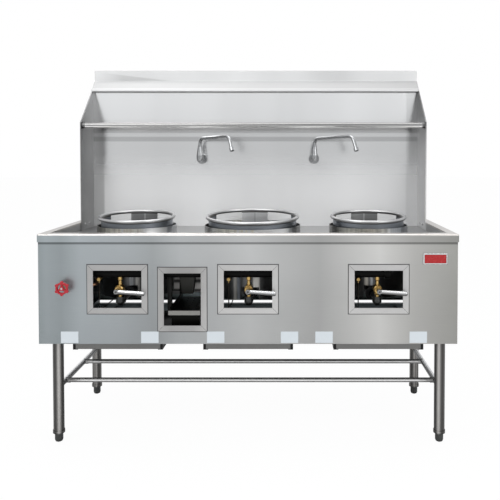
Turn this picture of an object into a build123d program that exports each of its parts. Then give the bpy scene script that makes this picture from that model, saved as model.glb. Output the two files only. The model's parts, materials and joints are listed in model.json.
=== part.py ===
from build123d import *
import os
from collections import namedtuple
from math import cos, radians, sin, sqrt

# A three-burner wok range: a stainless body on a tubular stand, with a splash back, a pot rail,
# two swing spouts and front gas levers. All sizes are in millimetres.
# While a piece is drawn, x = 0 is the middle, y = 0 is the front face of the worktop rim,
# y grows to the back and z = 0 is the floor.

# ---------------------------------------------------------------- driving sizes
# sheet and fits
sheet = 2.0                 # body sheet
thin_sheet = 1.5            # trays
seat_gap = 0.3              # gap between pieces that slide or turn, or have round seats

# worktop
rim_width = 1727.0
body_depth = 680.0
rim_top = 881.0
rim_face = 34.0             # height of the folded rim
rim_flat = 42.0             # width of its flat top
rim_fold_r = 8.0            # outside radius of its folded edge
deck_drop = 39.0            # recess of the deck below the rim

# body
panel_inset_x = 5.0         # rim overhang at each side
panel_inset_y = 4.0         # rim overhang at the front
panel_bottom = 428.0
bottom_return = 15.0        # fold under the front panel
side_flange = 20.0
rear_panel_bottom = 459.0

# windows in the front panel
window_z = 653.5
window_w = 198.5
window_h = 153.5
pass_shift = 1.5            # tall window's centre, left of the middle between two stations
pass_z = 611.5
pass_w = 152.0
pass_h = 215.0
trim_width = 24.5
trim_proud = 2.5
mitre_w = 1.0               # seams at the corners of the trims
cut_margin = 4.0            # the panel is cut back this far behind each trim

# burner stations
station_pitch = 535.0
station_y = 360.0
side_ring_r = 162.5         # outer radius of the inner collar of the two side rings
middle_ring_r = 203.0

# wok rings
ring_tube_r = 8.0
ring_tube_z = 917.0        # at the middle of the ring
ring_tilt = 3.2             # degrees, higher at the back
ring_tube_offset = 4.6      # tube centre outside the inner collar
ring_wall = 3.0
ring_plate_half = 64.0      # half width of the rear plate of the inner collar
ring_gap_share = 0.88       # the flue gaps reach this share of the radius to each side
ring_gap_bottom = 870.0

# fixed collars and chambers
collar_offset = 18.0        # outer collar outside the inner one
collar_height = 38.0
chamber_offset = 4.0        # shroud outside the inner collar
chamber_wall = 3.0
chamber_bottom = 575.0
flange_in = 12.0
flange_out = 13.0
floor_z = 640.0
throat_hole_r = 45.0
air_hole_r = 20.0
air_hole_pitch_r = 115.0
notch_w = 76.0
notch_top = 630.0

# jet burners
mix_z = 594.0               # axis of the mixing tube
mix_r = 22.0
mouth_y = 205.0
mouth_r = 30.0
mouth_length = 30.0
mouth_bore_r = 16.0
mouth_bore_depth = 60.0
throat_r = 26.0
head_r = 75.0
head_flange = 9.0
dome_r = 62.0
dome_height = 20.0
jet_r = 6.0
jet_height = 33.0
jet_circle_r = 42.0
jet_count = 8

# gas manifold, valves and supply elbows
gas_y = 50.0                # the manifold and the valves share this plane
manifold_z = 715.0
manifold_r = 21.2
manifold_wall = 3.5
manifold_overrun = 55.0     # end cap, beyond the right-hand valve
gas_inlet_inset = 63.5      # inlet, in from the rim's left side
inlet_reach = 30.0          # how far the inlets stand out behind the body
gas_thread = 26.0           # threaded end of the inlet
thread_depth = 0.5
thread_relief = 3.0         # groove behind a thread
cap_r = 26.0
cap_length = 26.0
bracket_width = 24.0
bracket_plate_height = 60.0
bracket_depth = 24.0        # behind the manifold's axis
bracket_outer_run = 165.0   # first bracket, left of the left-hand valve
bracket_inner_run = 145.0   # second bracket, right of that valve
bracket_right_run = 265.0   # third bracket, left of the right-hand valve
valve_z = 647.0
valve_r = 18.0
valve_front = 12.0
valve_back = 66.0
valve_neck_r = 8.5
valve_cap_r = 10.0
valve_cap_height = 9.0
stem_r = 4.0
stem_length = 14.0
elbow_r = 18.5
elbow_hub_length = 24.0
nipple_r = 13.3
nipple_end = 185.0
spud_r = 7.0
spud_reach = 7.0            # into the bell mouth

# levers
lever_hub_r = 9.5
lever_hub_front = -13.5
lever_y = -14.0
lever_length = 115.0
lever_r_near = 8.8
lever_r_far = 10.4
lever_droop = 4.0           # degrees below level when shut

# pilots
pilot_nut_r = 7.0
pilot_nut_length = 14.0
pilot_y = 28.0
pilot_z = 690.0
pilot_tube_r = 2.2
pilot_run_z = 558.0
pilot_top = 668.0
pilot_bend_r = 16.0

# cooling water
wheel_inset = 112.5         # handwheel, in from the rim's left side
wheel_z = 663.0
wheel_rim_r = 25.0
wheel_lobe_r = 6.0
wheel_lobes = 6
wheel_window_r = 17.0
wheel_hub_r = 8.5
wheel_spoke_w = 9.0
wheel_dish = 3.0            # the spokes lie this far behind the rim
wheel_spokes = 3
wheel_front = -34.0
wheel_thickness = 10.0
wheel_stem_r = 5.0
water_y = 50.0
water_body_r = 19.0
water_body_length = 60.0
water_pipe_r = 8.0
water_bend_r = 20.0
water_riser_run = 111.0     # riser, right of the handwheel
water_riser_y = 96.0
water_inlet_inset = 37.5    # inlet, in from the rim's left side

# deck drain, waste tray and drain box
drain_y = 160.0
drain_hole_r = 45.0
chute_top_w = 104.0
chute_bottom_w = 46.0
chute_bottom_z = 606.0
waste_shift = 6.0           # waste tray centre, right of the pass-through window's centre
waste_tray_w = 125.0
waste_lip_w = 131.0
waste_tray_y = 14.0
waste_tray_length = 350.0
waste_tray_top = 563.0
waste_tray_depth = 20.0
waste_hole_r = 4.0
waste_column_count = 3
waste_row_count = 8
waste_hole_pitch = 36.0
runner_leg = 12.0
runner_height = 24.0
hanger_y0 = 40.0
hanger_y1 = 400.0
strap_x = 17.0
strap_y = 24.0
right_rear_strap_y = 190.0
drain_box_bottom = 465.0
drain_box_y0 = 42.0
outlet_r = 25.0
outlet_bottom = 397.0
outlet_y = 220.0

# drip trays
drip_tray_w = 347.0
drip_tray_y = 6.0
drip_tray_length = 560.0
drip_tray_depth = 21.0
drip_runner_w = 10.0
drip_runner_height = 24.0
drip_ledge = 10.0

# frame and stand
frame_w = 50.0
frame_h = 30.0
front_member_d = 30.0
frame_wall = 2.5
rear_rail_top = 442.0
rear_rail_h = 38.0
rear_rail_d = 28.0
leg_inset = 64.0            # in from the rim's sides
front_leg_y = 60.0
rear_leg_inset = 82.0       # in from the back
leg_r = 22.2
leg_wall = 2.0
leg_plate = 80.0
leg_plate_t = 4.0
leg_collar_r = 24.5
leg_collar_h = 12.0
foot_height = 38.0
foot_r = 17.0
foot_pad_r = 9.0
foot_shank_r = 8.0
foot_shank_length = 45.0
rail_z = 228.0
side_rail_r = 11.0
cross_rail_r = 10.0
cross_rail_front_run = 88.0     # front cross rail, behind the front legs
cross_rail_rear_run = 201.0     # rear cross rail, in front of the rear legs
weld_ring_r = 12.0
weld_ring_length = 9.0

# splash back
splash_depth = 245.0
splash_corner_z = 1356.0
splash_top_z = 1524.0
splash_hem = 5.0
screw_r = 3.0               # the screws that hold the splash sides to the rim
screw_head_r = 6.5
screw_head_t = 4.0
screw_nut_r = 6.0
screw_nut_t = 5.0
screw_back_runs = (77.0, 142.0)     # screws, in front of the back panel
screw_z = 866.0
back_space = 40.0           # behind the front face of the back panel
stiffener_inner_x = 120.0
stiffener_edge = 230.0      # outer stiffeners, in from the splash sides
stiffener_w = 50.0
cap_depth = 65.0
cap_lip = 6.0
ledge_rise = 54.0
flange_height = 51.0
flange_t = 6.0
pot_rail_r = 12.7
pot_rail_wall = 1.5
pot_rail_run = 22.0         # behind the front edge of the splash sides
pot_rail_z = 1344.0
rail_mount_r = 18.5
rail_mount_length = 16.0

# faucets
faucet_left_x = -270.0
faucet_right_x = 295.0
faucet_z = 1183.0
faucet_reach = 85.0         # swivel, in front of the back panel
escutcheon_r = 26.0
escutcheon_t = 7.0
faucet_arm_r = 10.0
shank_r = 11.0
shank_thread = 45.0
lock_nut_r = 17.0
lock_nut_t = 9.0
sleeve_r = 16.5             # at its thick lower end
sleeve_top_r = 11.0
sleeve_bottom = 1169.0
sleeve_top = 1240.0
spout_r = 8.0
spout_wall = 1.2
spout_z = 1283.0
spout_reach = 278.0
spout_rise = 5.0
spout_drop = 64.0
spout_lean = 28.0            # the turned-down end leans out this far
spout_bend_r = 34.0
spout_angle = 36.0          # swing to the right at rest, degrees
spout_plug_length = 34.0
aerator_r = 11.0
aerator_length = 15.0

# plates
badge_inset = 97.5          # in from the rim's right side
badge_z = 778.5
badge_w = 101.0
badge_h = 47.0
badge_t = 4.0
label_side_run = 197.0      # outer label, left of the left-hand station
label_left_run = 132.0      # right of the left-hand station
label_middle_run = 133.0    # left of the middle station
label_centre_run = 170.0    # right of the middle station
label_right_run = 223.5     # left of the right-hand station
label_end_run = 163.0       # right of the right-hand station
label_w = 71.5
label_h = 47.0
label_t = 0.6
label_gap = 4.0             # above the bottom edge of the panel

# ---------------------------------------------------------------- places worked out from the sizes
Station = namedtuple("Station", "name x ring_r")
stations = (
    Station("left", -station_pitch, side_ring_r),
    Station("centre", 0.0, middle_ring_r),
    Station("right", station_pitch, side_ring_r),
)
deck_top = rim_top - deck_drop
deck_under = deck_top - sheet
rim_bottom = rim_top - rim_face
rim_under = rim_top - sheet
rim_x = rim_width / 2
fold_in_r = rim_fold_r - sheet
recess_x = rim_x - rim_flat
pass_x = -station_pitch / 2 - pass_shift
panel_x = rim_x - panel_inset_x
panel_back = panel_inset_y + sheet
body_inner_x = panel_x - sheet
rear_panel_front = body_depth - sheet
inlet_end = body_depth + inlet_reach
frame_bottom = panel_bottom + sheet
frame_top = frame_bottom + frame_h
frame_inner_x = body_inner_x - frame_w
rear_rail_front = rear_panel_front - rear_rail_d
leg_top = frame_bottom - leg_plate_t
valve_bottom = mix_z + elbow_r + 1.5
waste_x = pass_x + waste_shift
manifold_right = station_pitch + manifold_overrun
gas_inlet_x = gas_inlet_inset - rim_x
bracket_xs = (
    -station_pitch - bracket_outer_run,
    -station_pitch + bracket_inner_run,
    station_pitch - bracket_right_run,
)
wheel_x = wheel_inset - rim_x
water_inlet_x = water_inlet_inset - rim_x
water_riser_x = wheel_x + water_riser_run
leg_x = rim_x - leg_inset
rear_leg_y = body_depth - rear_leg_inset
cross_rail_ys = (front_leg_y + cross_rail_front_run, rear_leg_y - cross_rail_rear_run)
badge_x = rim_x - badge_inset
label_xs = (
    -station_pitch - label_side_run,
    -station_pitch + label_left_run,
    -label_middle_run,
    label_centre_run,
    station_pitch - label_right_run,
    station_pitch + label_end_run,
)
waste_tray_bottom = waste_tray_top - waste_tray_depth
runner_wall_x = waste_tray_w / 2 + 1.0
front_strap_y = gas_y + manifold_r + 4
drip_tray_bottom = panel_bottom - 1.0 - drip_tray_depth
flange_top = deck_top + chamber_wall
floor_top = floor_z + chamber_wall
head_top = floor_top + head_flange + dome_height
jet_top = head_top + jet_height
splash_x = recess_x
splash_inner_x = splash_x - sheet
splash_front = body_depth - splash_depth
back_y = body_depth - back_space
cap_front_y = body_depth - cap_depth
pot_rail_y = splash_front + pot_rail_run
screw_ys = [back_y - run for run in screw_back_runs]
faucet_y = back_y - faucet_reach
stiffener_x = splash_x - stiffener_edge
ledge_top_z = splash_top_z + sheet + ledge_rise
front_most = wheel_front
middle_y = (front_most + inlet_end) / 2


# ---------------------------------------------------------------- drawing helpers
def block(x0, x1, y0, y1, z0, z1):
    """A box given by its limits."""
    corner = (Align.MIN, Align.MIN, Align.MIN)
    return Pos(x0, y0, z0) * Box(x1 - x0, y1 - y0, z1 - z0, align=corner)


def mirror_block(x0, x1, y0, y1, z0, z1):
    """The same box at both sides of the middle."""
    return block(x0, x1, y0, y1, z0, z1) + block(-x1, -x0, y0, y1, z0, z1)


def rod_z(radius, z0, z1, x=0.0, y=0.0):
    bottom = (Align.CENTER, Align.CENTER, Align.MIN)
    return Pos(x, y, z0) * Cylinder(radius, z1 - z0, align=bottom)


def rod_y(radius, y0, y1, x=0.0, z=0.0):
    bottom = (Align.CENTER, Align.CENTER, Align.MIN)
    return Pos(x, y0, z) * Rot(-90, 0, 0) * Cylinder(radius, y1 - y0, align=bottom)


def rod_x(radius, x0, x1, y=0.0, z=0.0):
    bottom = (Align.CENTER, Align.CENTER, Align.MIN)
    return Pos(x0, y, z) * Rot(0, 90, 0) * Cylinder(radius, x1 - x0, align=bottom)


def gather(shapes):
    """Several separate solids as one piece."""
    return Part() + [solid for shape in shapes for solid in shape.solids()]


def along_x(face, x0, x1):
    """A y-z profile drawn out from x0 to x1."""
    return Pos(x0, 0, 0) * extrude(Plane.YZ * face, amount=x1 - x0)


def bent_tube(points, radius, bend, wall=None):
    """A round tube along straight runs joined by arcs; a bar where no wall is given."""
    path = FilletPolyline(*points, radius=bend) if len(points) > 2 else Polyline(*points)
    start = Plane(path @ 0, z_dir=path % 0)
    tube = sweep(start * Circle(radius), path=path)
    if wall is not None:
        tube -= sweep(start * Circle(radius - wall), path=path)
    return tube


def threaded_end(radius, length, x, z):
    """Ring to cut from a round end at the inlets: the thread's depth and its relief groove."""
    start = inlet_end - length
    outer = radius + 1.0
    thread = rod_y(outer, start, inlet_end, x, z)
    thread -= rod_y(radius - thread_depth, start, inlet_end, x, z)
    groove = rod_y(outer, start - thread_relief, start, x, z)
    groove -= rod_y(radius - 2 * thread_depth, start - thread_relief, start, x, z)
    return thread + groove


def turned(points, at):
    """A body turned about a vertical axis, from (radius, height) points."""
    face = Plane.XZ * make_face(Polyline(*points, close=True))
    return Pos(*at) * revolve(face, axis=Axis.Z)


def both_sides(piece):
    return piece + mirror(piece, about=Plane.YZ)


# ---------------------------------------------------------------- worktop and body
def make_worktop():
    """Deck pan: folded rim at the front and sides, recessed deck with its holes."""
    half = rim_x
    top = round_rim(block(-half, half, 0, body_depth, deck_under, rim_top), rim_fold_r)
    top -= block(rim_flat - half, half - rim_flat, rim_flat, body_depth, deck_top, rim_top)
    wall = rim_flat - sheet
    core = block(wall - half, half - wall, wall, body_depth, deck_under, rim_top)
    hollow = block(sheet - half, half - sheet, sheet, body_depth, deck_under, rim_under)
    hollow = round_rim(hollow, fold_in_r)
    skirt = block(-half, half, 0, body_depth, deck_under, rim_bottom)
    top -= (hollow + skirt) - core
    for station in stations:
        hole_r = station.ring_r + chamber_offset + 1
        top -= rod_z(hole_r, deck_under, deck_top, station.x, station_y)
    for y in screw_ys:
        top -= rod_x(screw_r + seat_gap, -half + wall, half - wall, y, screw_z)
    return top - rod_z(drain_hole_r, deck_under, deck_top, pass_x, drain_y)


def round_rim(box, radius):
    """Round a box along the front and side edges of its top, and up its two front corners."""
    top_edges = box.faces().sort_by(Axis.Z)[-1].edges().sort_by(Axis.Y)[:-1]
    front_edges = box.edges().filter_by(Axis.Z).sort_by(Axis.Y)[:2]
    return fillet(list(top_edges) + list(front_edges), radius)


def make_front_panel():
    """Sheet folded in at the top and bottom, with four windows and the valve stem's hole."""
    front = panel_inset_y
    panel = block(-panel_x, panel_x, front, panel_back, panel_bottom, rim_under)
    end = panel_x - fold_in_r
    panel += block(-end, end, front, front + side_flange, rim_under - sheet, rim_under)
    outside = block(-panel_x, panel_x, front, front + fold_in_r, rim_under - fold_in_r, rim_under)
    fold_y = front + fold_in_r
    fold_z = rim_under - fold_in_r
    panel -= outside - rod_x(fold_in_r, -panel_x, panel_x, fold_y, fold_z)
    bend = block(-end, end, panel_back, fold_y, fold_z, rim_under - sheet)
    panel += bend - rod_x(fold_in_r - sheet, -end, end, fold_y, fold_z)
    panel += block(
        -body_inner_x, body_inner_x, panel_inset_y, panel_inset_y + bottom_return,
        panel_bottom, panel_bottom + sheet,
    )
    for x, z, w, h in windows():
        half_w = w / 2 + cut_margin
        half_h = h / 2 + cut_margin
        panel -= block(x - half_w, x + half_w, 0, panel_back, z - half_h, z + half_h)
    return panel - rod_y(wheel_stem_r + 4, 0, panel_back, wheel_x, wheel_z)


def windows():
    """Centre and clear size of each window."""
    burner_windows = [(station.x, window_z, window_w, window_h) for station in stations]
    return burner_windows + [(pass_x, pass_z, pass_w, pass_h)]


def make_side_panels():
    """Two side sheets, each with flanges at the front, top and back."""
    web = block(body_inner_x, panel_x, panel_back, rear_panel_front, panel_bottom, rim_under)
    flange_x = panel_x - side_flange
    fold_x = panel_x - fold_in_r
    fold_z = rim_under - fold_in_r
    front = block(flange_x, panel_x, panel_back, panel_back + sheet, frame_top, fold_z)
    back = block(
        flange_x, panel_x, rear_panel_front - sheet, rear_panel_front, frame_top, deck_under
    )
    top = block(
        flange_x, panel_x, panel_back + side_flange, rear_panel_front,
        rim_under - sheet, rim_under,
    )
    outside = block(fold_x, panel_x, 0, body_depth, fold_z, rim_under)
    outside -= rod_y(fold_in_r, 0, body_depth, fold_x, fold_z)
    flange_start = panel_back + side_flange
    bend = block(
        fold_x, body_inner_x, flange_start, rear_panel_front, fold_z, rim_under - sheet
    )
    bend -= rod_y(fold_in_r - sheet, flange_start, rear_panel_front, fold_x, fold_z)
    return both_sides((web + front + back + top - outside) + bend)


def make_rear_panel():
    """Upper rear sheet; the back is open below it."""
    panel = block(
        -panel_x, panel_x, rear_panel_front, body_depth, rear_panel_bottom, deck_under
    )
    panel += block(
        -frame_inner_x, frame_inner_x, rear_panel_front - side_flange, body_depth,
        rear_panel_bottom, rear_panel_bottom + sheet,
    )
    panel -= rod_y(manifold_r + 3, rear_panel_front, body_depth, gas_inlet_x, manifold_z)
    return panel - rod_y(water_pipe_r + 3, rear_panel_front, body_depth, water_inlet_x, wheel_z)


def make_base_frame():
    """Welded frame of box section, with a lower rail across the open back."""
    front = block(
        -frame_inner_x, frame_inner_x, panel_back, panel_back + front_member_d,
        frame_bottom, frame_top,
    )
    front -= block(
        -frame_inner_x, frame_inner_x, panel_back + frame_wall,
        panel_back + front_member_d - frame_wall, frame_bottom + frame_wall,
        frame_top - frame_wall,
    )
    side = block(
        frame_inner_x, body_inner_x, panel_back, rear_panel_front - sheet, frame_bottom, frame_top
    )
    side -= block(
        frame_inner_x + frame_wall, body_inner_x - frame_wall, panel_back,
        rear_panel_front - sheet, frame_bottom + frame_wall, frame_top - frame_wall,
    )
    rail_bottom = rear_rail_top - rear_rail_h
    drop = block(
        frame_inner_x, frame_inner_x + rear_rail_d, rear_rail_front, rear_panel_front - sheet,
        rail_bottom, frame_bottom,
    )
    rail = block(
        -frame_inner_x, frame_inner_x, rear_rail_front, rear_panel_front - sheet,
        rail_bottom, rear_rail_top,
    )
    rail -= block(
        -frame_inner_x, frame_inner_x, rear_rail_front + frame_wall,
        rear_panel_front - sheet, rail_bottom + frame_wall, rear_rail_top - frame_wall,
    )
    return front + rail + both_sides(side + drop)


def make_window_trims():
    """Flat mitred frames over the cut edges of the windows."""
    trims = []
    for x, z, w, h in windows():
        ring = Rectangle(w + 2 * trim_width, h + 2 * trim_width) - Rectangle(w, h)
        trim = extrude(Plane.XZ * ring, amount=trim_proud)
        outer_edges = trim.faces().sort_by(Axis.Y)[0].outer_wire().edges()
        trim = chamfer(outer_edges, trim_proud / 3)
        for side in (-1, 1):
            for end in (-1, 1):
                corner = Pos(side * (w + trim_width) / 2, -trim_proud, end * (h + trim_width) / 2)
                seam = Rot(0, -45 * side * end, 0) * Box(trim_width * 2, mitre_w / 2, mitre_w)
                trim -= corner * seam
        trims.append(Pos(x, panel_inset_y, z) * trim)
    return gather(trims)


def make_label_plates():
    """Blank plates along the bottom of the front panel."""
    bottom = panel_bottom + label_gap
    front = panel_inset_y - label_t
    half = label_w / 2
    top = bottom + label_h
    return gather(
        [block(x - half, x + half, front, panel_inset_y, bottom, top) for x in label_xs]
    )


def make_badge():
    """Blank badge with a bevelled edge and a sunk field."""
    plate = extrude(Plane.XZ * Rectangle(badge_w, badge_h), amount=badge_t)
    front = plate.faces().sort_by(Axis.Y)[0]
    plate = chamfer(front.edges(), badge_t / 2)
    field = extrude(Plane.XZ * Rectangle(badge_w - 12, badge_h - 12), amount=badge_t)
    plate -= Pos(0, -badge_t * 0.7, 0) * field
    return Pos(badge_x, panel_inset_y, badge_z) * plate


# ---------------------------------------------------------------- burner stations
def make_ring_collar(station):
    """Fixed outer collar, welded to the deck round the chamber hole."""
    outer = station.ring_r + collar_offset
    top = deck_top + collar_height
    collar = rod_z(outer, deck_top, top) - rod_z(outer - ring_wall, deck_top, top)
    return Pos(station.x, station_y, 0) * collar


def make_chamber(station):
    """Shroud hung by its flange, with a notch for the mixing tube."""
    outer = station.ring_r + chamber_offset
    inner = outer - chamber_wall
    shroud = rod_z(outer, chamber_bottom, flange_top) - rod_z(inner, chamber_bottom, flange_top)
    flange = rod_z(station.ring_r + flange_out, deck_top, flange_top)
    flange -= rod_z(station.ring_r - flange_in, deck_top, flange_top)
    notch = block(-notch_w / 2, notch_w / 2, -outer, -inner / 2, chamber_bottom, notch_top)
    return Pos(station.x, station_y, 0) * ((shroud - notch) + flange)


def make_chamber_floors():
    """Burner floors inside the shrouds, each with a throat hole and four air holes."""
    floors = []
    for station in stations:
        outer = station.ring_r + chamber_offset - chamber_wall - seat_gap / 2
        floor = rod_z(outer, floor_z, floor_top) - rod_z(throat_hole_r, floor_z, floor_top)
        for turn in (45, 135, 225, 315):
            hole_x = air_hole_pitch_r * cos(radians(turn))
            hole_y = air_hole_pitch_r * sin(radians(turn))
            floor -= rod_z(air_hole_r, floor_z, floor_top, hole_x, hole_y)
        floors.append(Pos(station.x, station_y, 0) * floor)
    return gather(floors)


def make_burner(station):
    """Cast jet burner: bell mouth, mixing tube, throat, flanged head and a ring of jets."""
    dome_z = floor_top + head_flange
    head = turned(
        [
            (0, floor_top),
            (head_r, floor_top),
            (head_r, dome_z),
            (dome_r, dome_z),
            (dome_r * 0.8, head_top),
            (0, head_top),
        ],
        (0, 0, 0),
    )
    head += rod_z(throat_r, mix_z, floor_top) + Pos(0, 0, mix_z) * Sphere(throat_r)
    for index in range(jet_count):
        turn = radians(360 / jet_count * index)
        head += rod_z(
            jet_r, head_top - 1, jet_top, jet_circle_r * cos(turn), jet_circle_r * sin(turn)
        )
    head += rod_z(jet_r, head_top - 1, jet_top)
    front = mouth_y - station_y
    bell = bell_mouth(front)
    tube = rod_y(mix_r, front + mouth_length, 0, 0, mix_z)
    bore = rod_y(mouth_bore_r, front, front + mouth_bore_depth, 0, mix_z)
    return Pos(station.x, station_y, 0) * (head + tube + bell - bore)


def bell_mouth(front):
    """Flared inlet of the mixing tube, turned about its own axis."""
    rim = 6.0
    flare = [
        (0, 0), (mouth_r, 0), (mouth_r, rim), (mix_r, mouth_length), (0, mouth_length),
    ]
    cone = revolve(Plane.XZ * make_face(Polyline(*flare, close=True)), axis=Axis.Z)
    return Pos(0, front, mix_z) * Rot(-90, 0, 0) * cone


def make_wok_ring(station):
    """Lift-off ring: a tube, higher at the back, on a slanted collar with two flue gaps."""
    r = station.ring_r
    slope = Pos(0, 0, ring_tube_z) * Rot(ring_tilt, 0, 0)
    top = ring_tube_z + r
    collar = rod_z(r, flange_top, top) - rod_z(r - ring_wall, flange_top, top)
    collar -= slope * block(-2 * r, 2 * r, -2 * r, 2 * r, 0, 2 * r)
    collar -= mirror_block(ring_plate_half, r * ring_gap_share, 0, r, ring_gap_bottom, top)
    tube = slope * Torus(r + ring_tube_offset, ring_tube_r)
    return Pos(station.x, station_y, 0) * (collar + tube)


# ---------------------------------------------------------------- gas train
def make_gas_manifold():
    """Black pipe from the rear inlet to an end cap beyond the right-hand valve."""
    bend = 45.0
    run = bent_tube(
        [
            (gas_inlet_x, inlet_end, manifold_z),
            (gas_inlet_x, gas_y, manifold_z),
            (manifold_right - cap_length / 2, gas_y, manifold_z),
        ],
        manifold_r,
        bend,
        manifold_wall,
    )
    run -= threaded_end(manifold_r, gas_thread, gas_inlet_x, manifold_z)
    cap = rod_x(cap_r, manifold_right - cap_length, manifold_right, gas_y, manifold_z)
    return run + cap


def make_manifold_brackets():
    """Saddles that carry the manifold on the back of the front panel."""
    saddles = []
    for x in bracket_xs:
        x0, x1 = x - bracket_width / 2, x + bracket_width / 2
        bottom = manifold_z - manifold_r
        plate_top = bottom - 10 + bracket_plate_height
        saddle = block(x0, x1, panel_back, gas_y + bracket_depth, bottom - 10, manifold_z)
        saddle += block(x0, x1, panel_back, panel_back + 4, bottom - 10, plate_top)
        hole = rod_x(manifold_r + seat_gap / 2, x0, x1, gas_y, manifold_z)
        saddles.append(saddle - hole)
    return gather(saddles)


def make_gas_valve(station):
    """Brass quarter-turn valve hung from the manifold: round bonnet, flared top fitting."""
    manifold_bottom = manifold_z - manifold_r
    cap_under = manifold_bottom - valve_cap_height
    neck_z = valve_z + valve_r * 0.8
    body = turned(
        [
            (0, valve_bottom),
            (valve_neck_r, valve_bottom),
            (valve_neck_r, valve_bottom + 6),
            (valve_neck_r + 4, valve_bottom + 12),
            (valve_neck_r + 4, neck_z),
            (valve_neck_r, neck_z + 4),
            (valve_neck_r - 2, cap_under - 4),
            (valve_cap_r, cap_under),
            (valve_cap_r, manifold_bottom + 4),
            (0, manifold_bottom + 4),
        ],
        (0, gas_y, 0),
    )
    bonnet = rod_y(valve_r, valve_front + 10, valve_back, 0, valve_z)
    bonnet = chamfer(bonnet.edges().filter_by(GeomType.CIRCLE), 4)
    bonnet += rod_y(valve_r * 0.72, valve_front, valve_front + 11, 0, valve_z)
    body += bonnet
    body -= rod_x(manifold_r + seat_gap / 2, -valve_r, valve_r, gas_y, manifold_z)
    bore_end = valve_front + stem_length + 1
    body -= rod_y(stem_r + seat_gap, valve_front, bore_end, 0, valve_z)
    return Pos(station.x, 0, 0) * body


def make_supply_elbows():
    """Black elbow, nipple and gas spud from each valve to its bell mouth."""
    elbows = []
    for station in stations:
        elbow = Pos(0, gas_y, mix_z) * Sphere(elbow_r)
        elbow += rod_z(elbow_r - 2, mix_z, valve_bottom, 0, gas_y)
        elbow += rod_y(elbow_r, gas_y, gas_y + elbow_hub_length, 0, mix_z)
        elbow += rod_y(nipple_r, gas_y, nipple_end, 0, mix_z)
        elbow += rod_y(spud_r, nipple_end, mouth_y + spud_reach, 0, mix_z)
        elbows.append(Pos(station.x, 0, 0) * elbow)
    return gather(elbows)


def make_pilot_lines():
    """Brass pilot nut on the manifold and a thin tube that climbs through the air floor."""
    offset = air_hole_pitch_r * sqrt(0.5)
    lines = []
    for station in stations:
        x = station.x - offset
        y_up = station_y - offset
        tube = bent_tube(
            [
                (x, pilot_y, pilot_z),
                (x, pilot_y, pilot_run_z),
                (x, y_up, pilot_run_z),
                (x, y_up, pilot_top),
            ],
            pilot_tube_r,
            pilot_bend_r,
        )
        nut_y = pilot_y - pilot_nut_length / 2
        nut = rod_y(pilot_nut_r, nut_y, gas_y, x, pilot_z)
        nut -= rod_x(manifold_r + seat_gap / 2, x - 20, x + 20, gas_y, manifold_z)
        lines.append(tube + nut)
    return gather(lines)


def make_lever(station):
    """Tubular gas lever with its hub and valve stem, shown shut."""
    hub_back = valve_front - seat_gap
    hub = rod_y(lever_hub_r, lever_hub_front - lever_r_near, hub_back)
    hub = chamfer(hub.edges().filter_by(GeomType.CIRCLE), 1.2)
    hub += rod_y(stem_r, hub_back, valve_front + stem_length)
    arm = turned(
        [
            (0, 0),
            (lever_r_near, 0),
            (lever_r_far, lever_length * 0.9),
            (lever_r_far, lever_length - 4),
            (lever_r_far - 4, lever_length),
            (0, lever_length),
        ],
        (0, 0, 0),
    )
    arm = Pos(0, lever_y, 0) * Rot(0, 90 + lever_droop, 0) * arm
    return Pos(station.x, 0, valve_z) * (hub + arm)


# ---------------------------------------------------------------- cooling water
def make_handwheel():
    """Lobed handwheel with a rounded rim, a hub and three spokes set back from both."""
    outline = Circle(wheel_rim_r)
    for index in range(wheel_lobes):
        turn = 90 + 360 / wheel_lobes * index
        outline += PolarLocations(wheel_rim_r - 0.5, 1, turn) * Circle(wheel_lobe_r)
    openings = Circle(wheel_window_r) - Circle(wheel_hub_r)
    for index in range(wheel_spokes):
        spoke = Pos(wheel_window_r / 2, 0) * Rectangle(wheel_window_r, wheel_spoke_w)
        openings -= Rot(0, 0, 90 + 360 / wheel_spokes * index) * spoke
    wheel = extrude(Plane.XZ * (outline - openings), amount=wheel_thickness)
    rim_edges = wheel.faces().sort_by(Axis.Y)[0].outer_wire().edges()
    wheel = fillet(rim_edges, 2.5)
    dish = rod_y(wheel_window_r + 1, -wheel_thickness, wheel_dish - wheel_thickness)
    dish -= rod_y(wheel_hub_r, -wheel_thickness, wheel_dish - wheel_thickness)
    wheel -= dish + rod_y(wheel_stem_r - 1, -wheel_thickness, 0)
    return Pos(wheel_x, wheel_front + wheel_thickness, wheel_z) * wheel


def make_wheel_stem():
    """Steel stem that carries the handwheel through the panel."""
    back = wheel_front + wheel_thickness
    stem = rod_y(wheel_stem_r - 1, wheel_front, back)
    stem += rod_y(wheel_stem_r, back, water_y - water_body_r + 8)
    return Pos(wheel_x, 0, wheel_z) * stem


def make_water_valve():
    """Brass valve body with its bonnet, behind the front panel."""
    half = water_body_length / 2
    body = Pos(0, water_y, 0) * Sphere(water_body_r)
    body += rod_x(water_pipe_r + 4, -half, half, water_y, 0)
    for side in (-1, 1):
        low, high = sorted((side * half, side * (half - 12)))
        body += rod_x(water_pipe_r + 7, low, high, water_y, 0)
    bonnet_front = panel_back
    body += rod_y(wheel_stem_r + 7, bonnet_front, water_y, 0, 0)
    body -= rod_y(wheel_stem_r + seat_gap, bonnet_front, water_y - water_body_r + 10, 0, 0)
    body -= rod_x(water_pipe_r - 1.2, -half, half, water_y, 0)
    return Pos(wheel_x, 0, wheel_z) * body


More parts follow.
